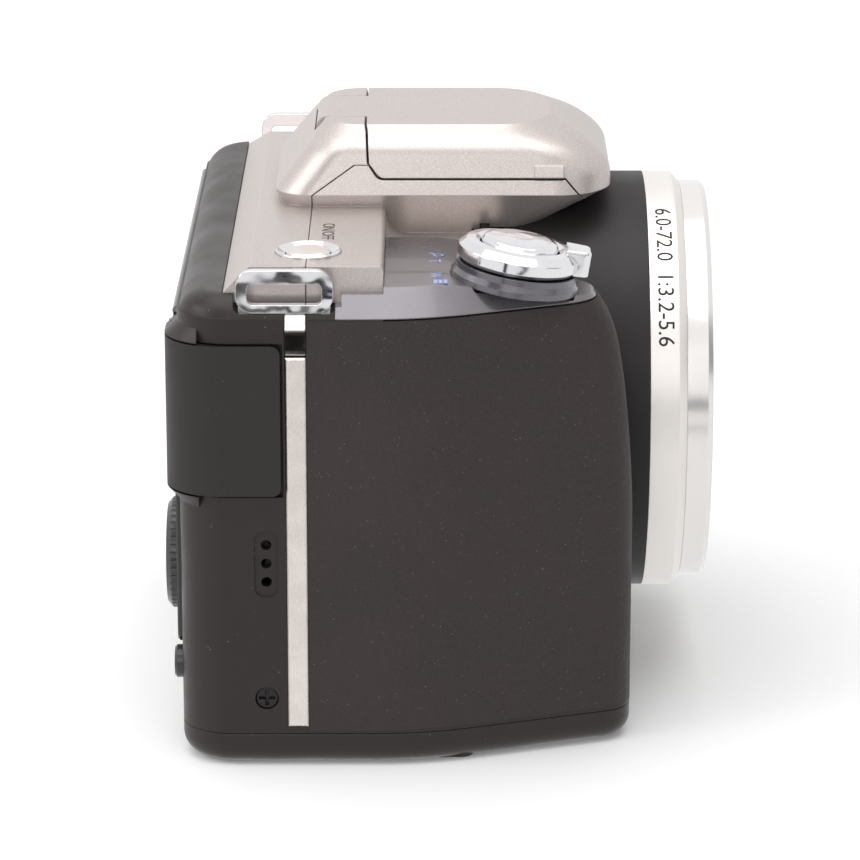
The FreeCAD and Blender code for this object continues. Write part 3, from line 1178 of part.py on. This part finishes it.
# Sensor and its board on the rear plate of the lens
sensor_front_y = plate_rear_y + 0.9
sensor_board_y = sensor_front_y + 1.5
image_sensor = block(-sensor_half_x, sensor_half_x, sensor_front_y, sensor_board_y, lens_z - sensor_half_z, lens_z + sensor_half_z)
sensor_card = rounded_block_y(-13.5, 13.5, lens_z - 11, lens_z + 11, 2.0, sensor_board_y, sensor_board_y + 1.0)
keep("sensor_board", group([image_sensor, sensor_card]))
lens_base = parts["lens_base"]
for x, z in ((-11, -8.5), (11, -8.5), (11, 8.5), (-11, 8.5)):
    lens_base = lens_base.fuse(Part.makeCylinder(1.4, sensor_board_y - plate_rear_y + 0.5, point(x, plate_rear_y - 0.5, lens_z + z), point(0, 1, 0)))
motor = turned([(0, -motor_stub + 0.1), (1.6, -motor_stub + 0.1), (1.6, 0), (motor_r, 0), (motor_r, motor_length - 2.6 - 5), (motor_r, motor_length - 2.6),
                (0, motor_length - 2.6)], point(motor_x, flange_end_y + lens_flange_t + motor_stub, motor_z), point(0, 1, 0))
lug = block(8, motor_x + 2, flange_end_y + 0.6, flange_end_y + 8.4, motor_z - 2, motor_z + 8)
lug = lug.cut(Part.makeCylinder(lens_base_r - 0.4, 60, point(0, -30, lens_z), point(0, 1, 0)))
lug = lug.cut(Part.makeCylinder(motor_r + seat_gap, 60, point(motor_x, -30, motor_z), point(0, 1, 0)))
lens_base = lens_base.fuse(lug)
keep("zoom_motor", motor)
keep("lens_base", lens_base)

# Window of the focus-assist lamp in the front face, between grip and lens
lamp_hole = Part.makeCylinder(lamp_r + seat_gap, 9, point(lamp_x, front_y - 3, lamp_z), point(0, 1, 0))
front = front.cut(lamp_hole)
keep("focus_lamp_window", turned([(0, 0.25), (lamp_r - 0.5, 0), (lamp_r, 0.3), (lamp_r, wall), (0, wall)], point(lamp_x, front_y, lamp_z), point(0, 1, 0)))

rear = rear.cut(parts["strap_plates"])
keep("front_shell", front)
keep("rear_cover", rear)
keep("grip_rubber", rubber)

os.makedirs("parts", exist_ok=True)
for name, shape in parts.items():
    shape.exportStep("parts/" + name + ".step")
print(len(parts), "nodes,", sum(len(shape.Solids) for shape in parts.values()), "solids")
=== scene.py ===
import json
import math
import bmesh
import bpy
from mathutils import Matrix, Vector


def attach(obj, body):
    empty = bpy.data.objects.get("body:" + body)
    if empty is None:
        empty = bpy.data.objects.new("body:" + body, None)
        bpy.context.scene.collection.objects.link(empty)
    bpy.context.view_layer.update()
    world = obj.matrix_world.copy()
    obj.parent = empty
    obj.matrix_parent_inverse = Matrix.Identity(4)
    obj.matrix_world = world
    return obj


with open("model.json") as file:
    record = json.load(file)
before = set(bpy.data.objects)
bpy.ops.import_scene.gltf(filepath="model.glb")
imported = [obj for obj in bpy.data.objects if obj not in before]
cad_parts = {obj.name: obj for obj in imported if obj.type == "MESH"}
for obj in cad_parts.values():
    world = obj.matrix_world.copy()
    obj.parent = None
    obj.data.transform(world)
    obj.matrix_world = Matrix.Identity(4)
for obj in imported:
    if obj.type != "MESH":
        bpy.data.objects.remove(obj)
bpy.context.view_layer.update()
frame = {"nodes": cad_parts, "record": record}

scene = bpy.context.scene
nodes = frame["nodes"]
mm = 0.001
lensZ = 44.9 * mm   # lens axis above the base
deckZ = 78.5        # flat top beside the hump, in mm
panelZ = 75.5       # grey panel, in mm
print("frame loaded", len(nodes))


# Shader maths: a socket that takes part in plain expressions
class Val:
    def __init__(self, net, socket):
        self.net = net
        self.socket = socket

    def op(self, kind, *others):
        return self.net.add("ShaderNodeMath", {"operation": kind}, [self, *others], 0)

    def flipped(self, kind, other):
        return self.net.add("ShaderNodeMath", {"operation": kind}, [other, self], 0)

    def __add__(self, other):
        return self.op("ADD", other)

    def __radd__(self, other):
        return self.flipped("ADD", other)

    def __sub__(self, other):
        return self.op("SUBTRACT", other)

    def __rsub__(self, other):
        return self.flipped("SUBTRACT", other)

    def __mul__(self, other):
        return self.op("MULTIPLY", other)

    def __rmul__(self, other):
        return self.flipped("MULTIPLY", other)

    def __truediv__(self, other):
        return self.op("DIVIDE", other)

    def __rtruediv__(self, other):
        return self.flipped("DIVIDE", other)

    def __pow__(self, other):
        return self.op("POWER", other)

    def sin(self):
        return self.op("SINE")

    def least(self, other):
        return self.op("MINIMUM", other)

    def step(self, low, high, start=0.0, end=1.0):
        settings = {"interpolation_type": "SMOOTHSTEP"}
        return self.net.add("ShaderNodeMapRange", settings, [self, low, high, start, end], 0)


class Net:
    def __init__(self, tree):
        self.tree = tree

    def add(self, kind, settings, inputs, output=None):
        node = self.tree.nodes.new(kind)
        for key, value in settings.items():
            setattr(node, key, value)
        for key, value in inputs.items() if isinstance(inputs, dict) else enumerate(inputs):
            if isinstance(value, Val):
                self.tree.links.new(value.socket, node.inputs[key])
            else:
                node.inputs[key].default_value = value
        if output is None:
            return [Val(self, socket) for socket in node.outputs]
        return Val(self, node.outputs[output])


class Shade(Net):
    def __init__(self, name, **constants):
        self.mat = bpy.data.materials.new(name)
        self.mat.use_nodes = True
        super().__init__(self.mat.node_tree)
        self.surface = self.tree.nodes["Principled BSDF"]
        for key, value in constants.items():
            self.surface.inputs[key.replace("_", " ")].default_value = value
        self.coords = self.add("ShaderNodeTexCoord", {}, [], "Object")

    def xyz(self):
        return self.add("ShaderNodeSeparateXYZ", {}, [self.coords])

    def stretched(self, scale):
        return self.add("ShaderNodeMapping", {}, {"Vector": self.coords, "Scale": scale}, 0)

    def noise(self, scale, detail=2.0, rough=0.5, vector=None):
        inputs = {"Vector": vector or self.coords, "Scale": scale, "Detail": detail, "Roughness": rough}
        return self.add("ShaderNodeTexNoise", {}, inputs, 0)

    def cells(self, scale, feature="F1"):
        inputs = {"Vector": self.coords, "Scale": scale}
        return self.add("ShaderNodeTexVoronoi", {"feature": feature}, inputs, 0)

    def blend(self, factor, first, second):
        return self.add("ShaderNodeMix", {"data_type": "RGBA"}, {0: factor, 6: first, 7: second}, 2)

    def feed(self, name, value):
        self.tree.links.new(value.socket, self.surface.inputs[name])

    def softEdge(self, radius=0.22 * mm):
        return self.add("ShaderNodeBevel", {"samples": 4}, {"Radius": radius}, 0)

    def bump(self, height, distance, strength=1.0):
        inputs = {"Height": height, "Distance": distance, "Strength": strength, "Normal": self.softEdge()}
        self.feed("Normal", self.add("ShaderNodeBump", {}, inputs, 0))


def tint(text, scale=1.0):   # linear colour from a hex one
    parts = [int(text[i:i + 2], 16) / 255 for i in (0, 2, 4)]
    linear = [p / 12.92 if p < 0.04045 else ((p + 0.055) / 1.055) ** 2.4 for p in parts]
    return tuple(scale * p for p in linear) + (1.0,)


def toned(colour, factor):   # lighter or darker
    return tuple(min(1.0, part * factor) for part in colour[:3]) + (1.0,)


# Finishes
def mouldedBlack(name, colour, rough, grain, grainSize, specks=0.0, depth=0.75):
    shade = Shade(name, Roughness=rough, Specular_IOR_Level=0.3)
    base = tint(colour, depth)
    fine = shade.noise(1 / grainSize, 3.0, 0.6)
    patch = shade.noise(90.0, 3.0)
    shade.feed("Roughness", patch.step(0.3, 0.7, rough - 0.05, rough + 0.06))
    tone = shade.blend(patch, toned(base, 0.92), toned(base, 1.08))
    if specks:
        dust = shade.cells(900.0).step(0.05, 0.11, 1.0, 0.0)
        rare = shade.noise(420.0, 1.0).step(0.55, 0.7)
        tone = shade.blend(dust * rare * specks, tone, tint("b8b2ae"))
    shade.feed("Base Color", tone)
    shade.bump(fine, grain, 0.5)
    return shade.mat


def leatherSkin(name, colour):
    shade = Shade(name, Roughness=0.62, Specular_IOR_Level=0.3)
    base = tint(colour, 0.8)
    lumps = shade.cells(1 / (1.1 * mm), "SMOOTH_F1")
    fine = shade.noise(1 / (0.35 * mm), 4.0, 0.65)
    folds = shade.noise(1 / (2.6 * mm), 2.0)
    patch = shade.noise(60.0, 4.0)
    shade.bump(lumps * 0.7 + fine * 0.45 + folds * 0.5, 0.2 * mm, 0.9)
    tone = shade.blend(patch.step(0.3, 0.7), toned(base, 0.9), toned(base, 1.12))
    dust = shade.cells(1400.0).step(0.08, 0.16, 1.0, 0.0)
    rare = shade.noise(500.0, 1.0).step(0.54, 0.64)
    tone = shade.blend(dust * rare * 0.35, tone, tint("a8a29e"))
    tone = shade.blend(fine.step(0.35, 0.75) * 0.5, tone, toned(base, 1.6))
    shade.feed("Base Color", tone)
    shade.feed("Roughness", patch.step(0.3, 0.7, 0.56, 0.68))
    return shade.mat


def sparklePaint(name, colour, rough, metallic):
    shade = Shade(name, Metallic=metallic, Roughness=rough)
    base = tint(colour)
    flakes = shade.cells(1 / (0.22 * mm))
    patch = shade.noise(1 / (0.16 * mm), 2.0, 0.7)
    glint = flakes.step(0.1, 0.55, 1.0, 0.0)
    tone = shade.blend(glint * 0.45 + patch * 0.4, toned(base, 0.74), toned(base, 1.26))
    shade.feed("Base Color", tone)
    shade.feed("Roughness", patch.step(0.3, 0.7, rough - 0.06, rough + 0.1))
    shade.bump(flakes, 0.015 * mm, 0.35)
    return shade.mat


def polishedMetal(name, colour, rough, wave=0.18 * mm, metallic=1.0):
    shade = Shade(name, Metallic=metallic, Roughness=rough)
    base = tint(colour)
    cloud = shade.noise(150.0, 4.0)
    shade.feed("Roughness", cloud.step(0.3, 0.75, rough, rough + 0.05))
    shade.feed("Base Color", shade.blend(cloud, toned(base, 0.95), base))
    shade.bump(shade.noise(1 / (4.0 * mm), 1.0), wave, 0.6)
    return shade.mat


def turnedMetal(name, colour, rough):   # fine circles round the lens axis
    shade = Shade(name, Metallic=0.55, Roughness=rough)
    x, y, z = shade.xyz()
    radius = (x * x + (z - lensZ) ** 2) ** 0.5
    circles = shade.add("ShaderNodeCombineXYZ", {}, [y, radius, 0.0], 0)
    lines = shade.noise(1 / (0.06 * mm), 2.0, 0.7, circles)
    base = tint(colour)
    shade.feed("Base Color", shade.blend(lines, toned(base, 0.9), base))
    shade.feed("Roughness", lines.step(0.3, 0.7, rough - 0.06, rough + 0.08))
    shade.bump(lines, 0.006 * mm, 0.5)
    return shade.mat


def brushedMetal(name, colour, rough, scale):
    shade = Shade(name, Metallic=1.0, Roughness=rough)
    streak = shade.noise(1.0, 3.0, 0.7, shade.stretched(scale))
    patch = shade.noise(260.0, 4.0)
    base = tint(colour)
    shade.feed("Base Color", shade.blend(patch.step(0.35, 0.7), toned(base, 0.92), base))
    shade.feed("Roughness", streak.step(0.3, 0.7, rough - 0.06, rough + 0.1))
    shade.bump(streak, 0.01 * mm, 0.4)
    return shade.mat


def darkGloss(name, colour, rough=0.12, metallic=0.0, coat=0.3):
    shade = Shade(name, Roughness=rough, Metallic=metallic, Coat_Weight=coat, Coat_Roughness=0.05)
    base = tint(colour)
    cloud = shade.noise(110.0, 4.0)
    fine = shade.noise(1 / (0.12 * mm), 2.0)
    shade.feed("Base Color", shade.blend(cloud * 0.6 + fine * 0.4, toned(base, 0.9), toned(base, 1.1)))
    shade.feed("Roughness", cloud.step(0.35, 0.75, rough, rough + 0.06))
    shade.feed("Normal", shade.softEdge())
    return shade.mat


def coatedGlass(name, colour, coatColour):
    shade = Shade(name, Roughness=0.02, IOR=1.6, Coat_Weight=1.0, Coat_Roughness=0.01,
                  Coat_Tint=tint(coatColour), Transmission_Weight=1.0)
    cloud = shade.noise(60.0, 2.0)
    shade.feed("Base Color", shade.blend(cloud, tint(colour), tint(colour, 0.92)))
    shade.feed("Roughness", cloud.step(0.4, 0.8, 0.015, 0.03))
    return shade.mat


def ribbedGlass(name, colour, rib=0.7 * mm):
    shade = Shade(name, Roughness=0.05, IOR=1.5, Transmission_Weight=0.6)
    x, y, z = shade.xyz()
    ribs = (x * (2 * math.pi / rib)).sin()
    cross = (z * (math.pi / rib)).sin()
    shade.feed("Base Color", shade.blend(ribs.step(-1.0, 1.0), tint(colour, 0.9), tint(colour)))
    shade.bump(ribs + cross * 0.5, 0.08 * mm, 0.8)
    return shade.mat


def ink(name, colour, depth=1.0):
    return mouldedBlack(name, colour, 0.5, 0.001 * mm, 0.3 * mm, depth=depth)


paints = {
    "casing_black": mouldedBlack("casingBlack", "322b29", 0.36, 0.02 * mm, 0.14 * mm, 0.35),
    "grip_skin": leatherSkin("gripSkin", "383130"),
    "flap_rubber": mouldedBlack("flapRubber", "312c2c", 0.5, 0.02 * mm, 0.2 * mm, 0.15),
    "deck_champagne": sparklePaint("deckChampagne", "cfc6c2", 0.36, 0.68),
    "bright_chrome": polishedMetal("brightChrome", "e6e6e8", 0.06),
    "satin_trim": brushedMetal("satinTrim", "ece4de", 0.3, (9000, 9000, 700)),
    "panel_grey": darkGloss("panelGrey", "767277", 0.24, 0.7, 0.4),
    "collar_grey": darkGloss("collarGrey", "6a686e", 0.2, 0.75, 0.5),
    "ring_silver": turnedMetal("ringSilver", "f2ede9", 0.34),
    "barrel_black": mouldedBlack("barrelBlack", "2b2727", 0.5, 0.012 * mm, 0.18 * mm),
    "lens_glass": coatedGlass("lensGlass", "eef0f2", "e2dcff"),
    "optic_black": mouldedBlack("opticBlack", "201f1f", 0.55, 0.01 * mm, 0.3 * mm),
    "clear_window": ribbedGlass("clearWindow", "eef0f2"),
    "lamp_bright": polishedMetal("lampBright", "f0f0f0", 0.12),
    "rear_gloss": darkGloss("rearGloss", "181718", 0.16),
    "display_glass": darkGloss("displayGlass", "101114", 0.04, 0.0, 1.0),
    "key_black": darkGloss("keyBlack", "2a292b", 0.3),
    "steel": polishedMetal("plainSteel", "8e8e90", 0.3),
    "screw_black": polishedMetal("screwBlack", "3a3838", 0.3),
    "insert_metal": polishedMetal("insertMetal", "cfc8b8", 0.3),
    "contact_metal": polishedMetal("contactMetal", "d8c28a", 0.25),
    "board": mouldedBlack("boardGreen", "1f6a3c", 0.45, 0.01 * mm, 0.4 * mm, depth=1.0),
    "cell_wrap": darkGloss("cellWrap", "8f9194", 0.3, 0.4),
    "inner_plastic": mouldedBlack("innerPlastic", "3a3a3a", 0.6, 0.01 * mm, 0.3 * mm),
}
slotOf = {part["node"]: part["material_slot"] for part in frame["record"]["subparts"]}
for name, node in nodes.items():
    node.data.materials.clear()
    node.data.materials.append(paints[slotOf[name]])

# The trim's cap is chrome with a painted dark reflection over its lower part
cap = {"dark": "3a3635", "bright": "e8e6e6", "reflectionTop": 0.66, "soft": 0.04}
capHeights = [corner[2] for corner in nodes["trim_cap"].bound_box]
capShade = Shade("trimCapChrome", Metallic=1.0, Roughness=0.1)
capRise = (capShade.xyz()[2] - min(capHeights)) / (max(capHeights) - min(capHeights))
# painted reflection: the cap's colour turns dark below a soft line, up from just above its bottom
capPaintedReflection = capRise.step(cap["reflectionTop"] - cap["soft"], cap["reflectionTop"] + cap["soft"], 1.0, 0.0)
capPaintedReflection = capRise.step(0.02, 0.1) * capPaintedReflection * capShade.noise(300.0).step(0.2, 0.5, 0.8, 1.0)
capShade.feed("Base Color", capShade.blend(capPaintedReflection, tint(cap["bright"]), tint(cap["dark"])))
capShade.bump(capShade.noise(1 / (4.0 * mm), 1.0), 0.1 * mm, 0.6)
nodes["trim_cap"].data.materials[0] = capShade.mat
ringPolish = polishedMetal("frontRingPolish", "eae7e5", 0.16, 0.01 * mm, 0.6)
nodes["lens_front_ring"].data.materials[0] = ringPolish
nodes["connector_sockets"].data.materials[0] = paints["steel"]
print("materials ready", len(paints))


# Small pieces added for the look
def pieceFrom(name, bm, paint, body, smooth=False):
    bmesh.ops.recalc_face_normals(bm, faces=bm.faces)
    mesh = bpy.data.meshes.new(name)
    bm.to_mesh(mesh)
    bm.free()
    mesh.polygons.foreach_set("use_smooth", [smooth] * len(mesh.polygons))
    mesh.materials.append(paint)
    obj = bpy.data.objects.new(name, mesh)
    scene.collection.objects.link(obj)
    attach(obj, body)


def letters(words, height, deep):   # upright in XY, centred, with Z towards the reader
    curve = bpy.data.curves.new("words", "FONT")
    curve.body = words
    curve.size = height / 0.69   # capitals fill 0.69 of the size
    curve.extrude = deep / 2
    curve.resolution_u = 3
    curve.align_x = "CENTER"
    curve.align_y = "CENTER"
    holder = bpy.data.objects.new("words", curve)
    scene.collection.objects.link(holder)
    bpy.context.view_layer.update()
    bm = bmesh.new()
    bm.from_mesh(holder.evaluated_get(bpy.context.evaluated_depsgraph_get()).to_mesh())
    bpy.data.objects.remove(holder)
    bmesh.ops.remove_doubles(bm, verts=bm.verts, dist=0.002 * mm)
    return bm


inkBlack = ink("inkBlack", "2b2828", 0.75)
inkWhite = ink("inkWhite", "e6e6ea")
inkBlue = ink("inkBlue", "b4c6ff")
inkRed = ink("inkRed", "c01818")

ringText = {"words": "6.0-72.0  1:3.2-5.6", "height": 2.5 * mm, "deep": 0.03 * mm,
            "radius": 34.0 * mm, "y": -41.0 * mm, "middle": math.radians(133.5)}
bm = letters(ringText["words"], ringText["height"], ringText["deep"])
for v in bm.verts:   # wrapped round the number ring
    angle = ringText["middle"] + v.co.x / ringText["radius"]
    r = ringText["radius"] + v.co.z + ringText["deep"] * 0.4
    v.co = Vector((math.cos(angle) * r, ringText["y"] - v.co.y, lensZ + math.sin(angle) * r))
pieceFrom("ring_numbers", bm, inkBlack, "camera")
print("numbers on the ring")

marks = {"thick": 0.04 * mm, "letter": 1.9 * mm}
flat = Matrix.Translation((0, 0, -marks["thick"] / 2))


def raised(bm, faces):   # gives flat faces the thickness of a mark
    grown = bmesh.ops.extrude_face_region(bm, geom=faces)["geom"]
    tops = [v for v in grown if isinstance(v, bmesh.types.BMVert)]
    bmesh.ops.translate(bm, verts=tops, vec=(0, 0, marks["thick"]))


def shape(bm, corners):
    raised(bm, [bm.faces.new([bm.verts.new(flat @ Vector((x * mm, y * mm, 0))) for x, y in corners])])


def bar(bm, left, low, right, high):
    shape(bm, [(left, low), (right, low), (right, high), (left, high)])


def disc(bm, radius):
    made = bmesh.ops.create_circle(bm, cap_ends=True, segments=24, radius=radius * mm, matrix=flat)
    raised(bm, [made["verts"][0].link_faces[0]])


def hoop(bm, y, radius, wide):
    spot = flat @ Matrix.Translation((0, y * mm, 0))
    edges = {}   # each edge once, in the order made
    for r in (radius, radius - wide):
        made = bmesh.ops.create_circle(bm, segments=24, radius=r * mm, matrix=spot)
        edges.update(dict.fromkeys(edge for v in made["verts"] for edge in v.link_edges))
    raised(bm, bmesh.ops.bridge_loops(bm, edges=list(edges))["faces"])


def printed(name, bm, centre, upward, paint, body="camera"):   # marks read along -X
    reading = Vector((-1, 0, 0))
    upward = Vector(upward)
    turn = Matrix((reading, upward, reading.cross(upward))).transposed().to_4x4()
    bmesh.ops.transform(bm, matrix=Matrix.Translation(Vector(centre) * mm) @ turn, verts=bm.verts)
    pieceFrom(name, bm, paint, body)


powerLabel = {"words": "ON/OFF", "centre": (-34.7, 11.8, deckZ)}
onTop = (0, -1, 0)
bm = letters(powerLabel["words"], marks["letter"], marks["thick"])
printed("power_label", bm, powerLabel["centre"], onTop, inkBlack)

panel = {"foldY": -6.0, "fall": math.tan(math.radians(9.0))}   # slopes down in front of the fold


def onPanel(x, y):
    return (x, y, panelZ - max(0.0, panel["foldY"] - y) * panel["fall"])


magnifier = bmesh.new()
hoop(magnifier, 0.3, 0.8, 0.22)
shape(magnifier, [(-0.5, -0.4), (-0.7, -0.25), (-1.3, -0.95), (-1.1, -1.1)])
tiles = bmesh.new()
tile = {"start": -1.05, "pitch": 0.75, "side": 0.6}
for column in range(3):
    for row in range(3):
        left = tile["start"] + column * tile["pitch"]
        low = tile["start"] + row * tile["pitch"]
        bar(tiles, left, low, left + tile["side"], low + tile["side"])
tele = letters("T", marks["letter"], marks["thick"])
wide = letters("W", marks["letter"], marks["thick"])
panelMarks = {"zoom_in_mark": (magnifier, -37.6, -5.0), "zoom_out_mark": (tiles, -53.4, -5.6),
              "tele_mark": (tele, -41.2, -4.6), "wide_mark": (wide, -49.6, -4.8)}
for name, (bm, x, y) in panelMarks.items():
    printed(name, bm, onPanel(x, y), onTop, inkBlue)
print("marks on the top")

# Thread in the tripod socket: one ridge section spun upwards
thread = {"pitch": 1.27 * mm, "outer": 3.17 * mm, "inner": 2.75 * mm, "start": 0.25 * mm, "turns": 4, "steps": 32}
ridge = [("outer", 0.05), ("outer", 0.75), ("inner", 0.46), ("inner", 0.34)]   # height in pitches
bm = bmesh.new()
ring = [bm.verts.new((thread[side], 0, thread["start"] + rise * thread["pitch"])) for side, rise in ridge]
edges = [bm.edges.new((ring[i - 1], ring[i])) for i in range(len(ring))]
bmesh.ops.spin(bm, geom=ring + edges, cent=(0, 0, 0), axis=(0, 0, 1), use_duplicate=False,
               angle=2 * math.pi * thread["turns"], steps=thread["turns"] * thread["steps"],
               dvec=(0, 0, thread["pitch"] / thread["steps"]))
bmesh.ops.holes_fill(bm, edges=bm.edges, sides=len(ring))
pieceFrom("socket_thread", bm, paints["insert_metal"], "camera", True)

# Marks beside the rear keys
rear = {"plateY": 35.12, "keyY": 35.71}
onRear = (0, 0, 1)
triangle = bmesh.new()
shape(triangle, [(-0.8, -1.0), (1.0, 0.0), (-0.8, 1.0)])
lines = bmesh.new()
for row in range(3):
    bar(lines, -1.1, -0.95 + row * 0.75, 1.1, -0.6 + row * 0.75)
dustbin = bmesh.new()
shape(dustbin, [(-0.7, -1.0), (0.7, -1.0), (0.9, 0.6), (-0.9, 0.6)])
bar(dustbin, -1.1, 0.75, 1.1, 1.0)
bar(dustbin, -0.35, 1.05, 0.35, 1.25)
rearMarks = {"playback_mark": (triangle, -30.0, 52.0), "menu_mark": (lines, -31.0, 18.0),
             "delete_mark": (dustbin, -47.6, 18.0)}
for name, (bm, x, z) in rearMarks.items():
    printed(name, bm, (x, rear["plateY"], z), onRear, inkWhite)
redDot = bmesh.new()
disc(redDot, 0.9)
printed("movie_mark", redDot, (-27.0, rear["keyY"], 63.5), onRear, inkRed, "movie_key")
print("marks on the rear")

# Floor, lights, camera
stage = {"floor": 2.0, "glow": 0.1, "skyLow": 0.3, "skyHigh": 0.6, "skyFront": 0.45, "sideGlow": 0.55}


def panelFrom(name, wide, tall, shade):
    bm = bmesh.new()
    spread = Matrix.Diagonal((wide, tall, 1, 1))
    bmesh.ops.create_grid(bm, x_segments=1, y_segments=1, size=0.5, matrix=spread)
    mesh = bpy.data.meshes.new(name)
    bm.to_mesh(mesh)
    bm.free()
    mesh.materials.append(shade.mat)
    obj = bpy.data.objects.new(name, mesh)
    scene.collection.objects.link(obj)
    return obj


def aimed(obj, place, target, axis):
    obj.location = place
    obj.rotation_euler = (Vector(target) - Vector(place)).to_track_quat(axis, "Y").to_euler()


floorPaint = Shade("floorPaint", Roughness=0.6, Emission_Strength=stage["glow"])
floorPaint.feed("Base Color", floorPaint.blend(floorPaint.noise(4.0), tint("fbfbfb"), tint("f8f8f8")))
# Seen from below the floor is clear
floorPaint.feed("Alpha", 1.0 - floorPaint.add("ShaderNodeNewGeometry", {}, [], "Backfacing"))
floor = panelFrom("floor", stage["floor"], stage["floor"], floorPaint)
floor.location.z = -0.02 * mm
floor.visible_glossy = False

world = bpy.data.worlds.new("studio")
scene.world = world
world.use_nodes = True
sky = Net(world.node_tree)
sky.tree.nodes.clear()
direction = sky.add("ShaderNodeTexCoord", {}, [], "Generated")
aside, along, height = sky.add("ShaderNodeSeparateXYZ", {}, [direction])
strength = height.step(-0.35, 0.25, stage["skyLow"], stage["skyHigh"])
strength = strength * along.step(-0.9, 0.4, stage["skyFront"], 1.0)
sideGlow = aside.step(-0.95, -0.7, stage["sideGlow"], 0.0) * height.step(0.3, 0.6, 1.0, 0.0)
strength = strength + sideGlow
light = sky.add("ShaderNodeBackground", {}, {"Color": (1, 1, 1, 1), "Strength": strength}, 0)
white = sky.add("ShaderNodeBackground", {}, {"Color": (1, 1, 1, 1), "Strength": 1.0}, 0)
rays = {ray.socket.name: ray for ray in sky.add("ShaderNodeLightPath", {}, [])}
seen = (rays["Is Camera Ray"] + rays["Is Glossy Ray"] + rays["Is Transmission Ray"]).least(1.0)
mixed = sky.add("ShaderNodeMixShader", {}, [seen, light, white], 0)
sky.add("ShaderNodeOutputWorld", {}, {"Surface": mixed})

lamps = {
    "topLamp": {"place": (-0.1, 0.05, 1.6), "target": (0, 0, 0.04), "size": (1.7, 1.7), "power": 18.0},
    "sideLamp": {"place": (-1.0, 0.2, 0.42), "target": (0, 0, 0.04), "size": (0.5, 0.6), "power": 1.3},
    "rearLamp": {"place": (-0.25, 1.0, 0.75), "target": (0, 0, 0.05), "size": (0.8, 0.35), "power": 3.5},
}
for name, lamp in lamps.items():
    data = bpy.data.lights.new(name, "AREA")
    data.shape = "RECTANGLE"
    data.size, data.size_y = lamp["size"]
    data.energy = lamp["power"]
    obj = bpy.data.objects.new(name, data)
    scene.collection.objects.link(obj)
    aimed(obj, lamp["place"], lamp["target"], "-Z")

# Dark cards beside the set, seen only in reflections, give the bright metal its dark bands
cards = {
    "cardLow": {"place": (-0.8, 0.0, 0.06), "target": (0, 0, 0.05), "size": (1.0, 0.1)},
    "cardHigh": {"place": (-0.55, 0.35, 0.6), "target": (0, 0, 0.06), "size": (0.3, 0.5)},
    "cardFront": {"place": (-0.3, -0.9, 0.3), "target": (0, 0, 0.05), "size": (0.5, 0.35)},
    "cardDown": {"place": (-0.8, 0.0, -0.14), "target": (0, 0, 0.07), "size": (0.8, 0.035)},
    "cardCorner": {"place": (-0.75, -0.45, 0.1), "target": (0, 0, 0.07), "size": (0.16, 0.5)},
    "cardTall": {"place": (-0.85, 0.36, 0.0), "target": (0, 0, 0.07), "size": (0.07, 0.6)},
}
cardPaint = Shade("cardPaint", Roughness=0.9, Specular_IOR_Level=0.0)
cardPaint.feed("Base Color", cardPaint.blend(cardPaint.noise(5.0), tint("0c0c0c"), tint("101010")))
for name, card in cards.items():
    obj = panelFrom(name, *card["size"], cardPaint)
    aimed(obj, card["place"], card["target"], "Z")
    obj.visible_camera = False
    obj.visible_shadow = False
    obj.visible_diffuse = False

view = {"aim": Vector((0, -4 * mm, 35.8 * mm)), "far": 702.7 * mm, "tilt": math.radians(17.0),
        "sensor": 36.0, "focalPixels": 4250, "picturePixels": 860}
look = Vector((math.cos(view["tilt"]), 0, -math.sin(view["tilt"])))
right = Vector((0, -1, 0))
data = bpy.data.cameras.new("photoCamera")
data.sensor_width = view["sensor"]
data.lens = view["sensor"] * view["focalPixels"] / view["picturePixels"]
data.clip_start = 0.01
viewer = bpy.data.objects.new("photoCamera", data)
scene.collection.objects.link(viewer)
turn = Matrix((right, right.cross(look), -look)).transposed().to_4x4()
viewer.matrix_world = Matrix.Translation(view["aim"] - look * view["far"]) @ turn
scene.camera = viewer
scene.view_settings.view_transform = "Standard"
print("stage ready")
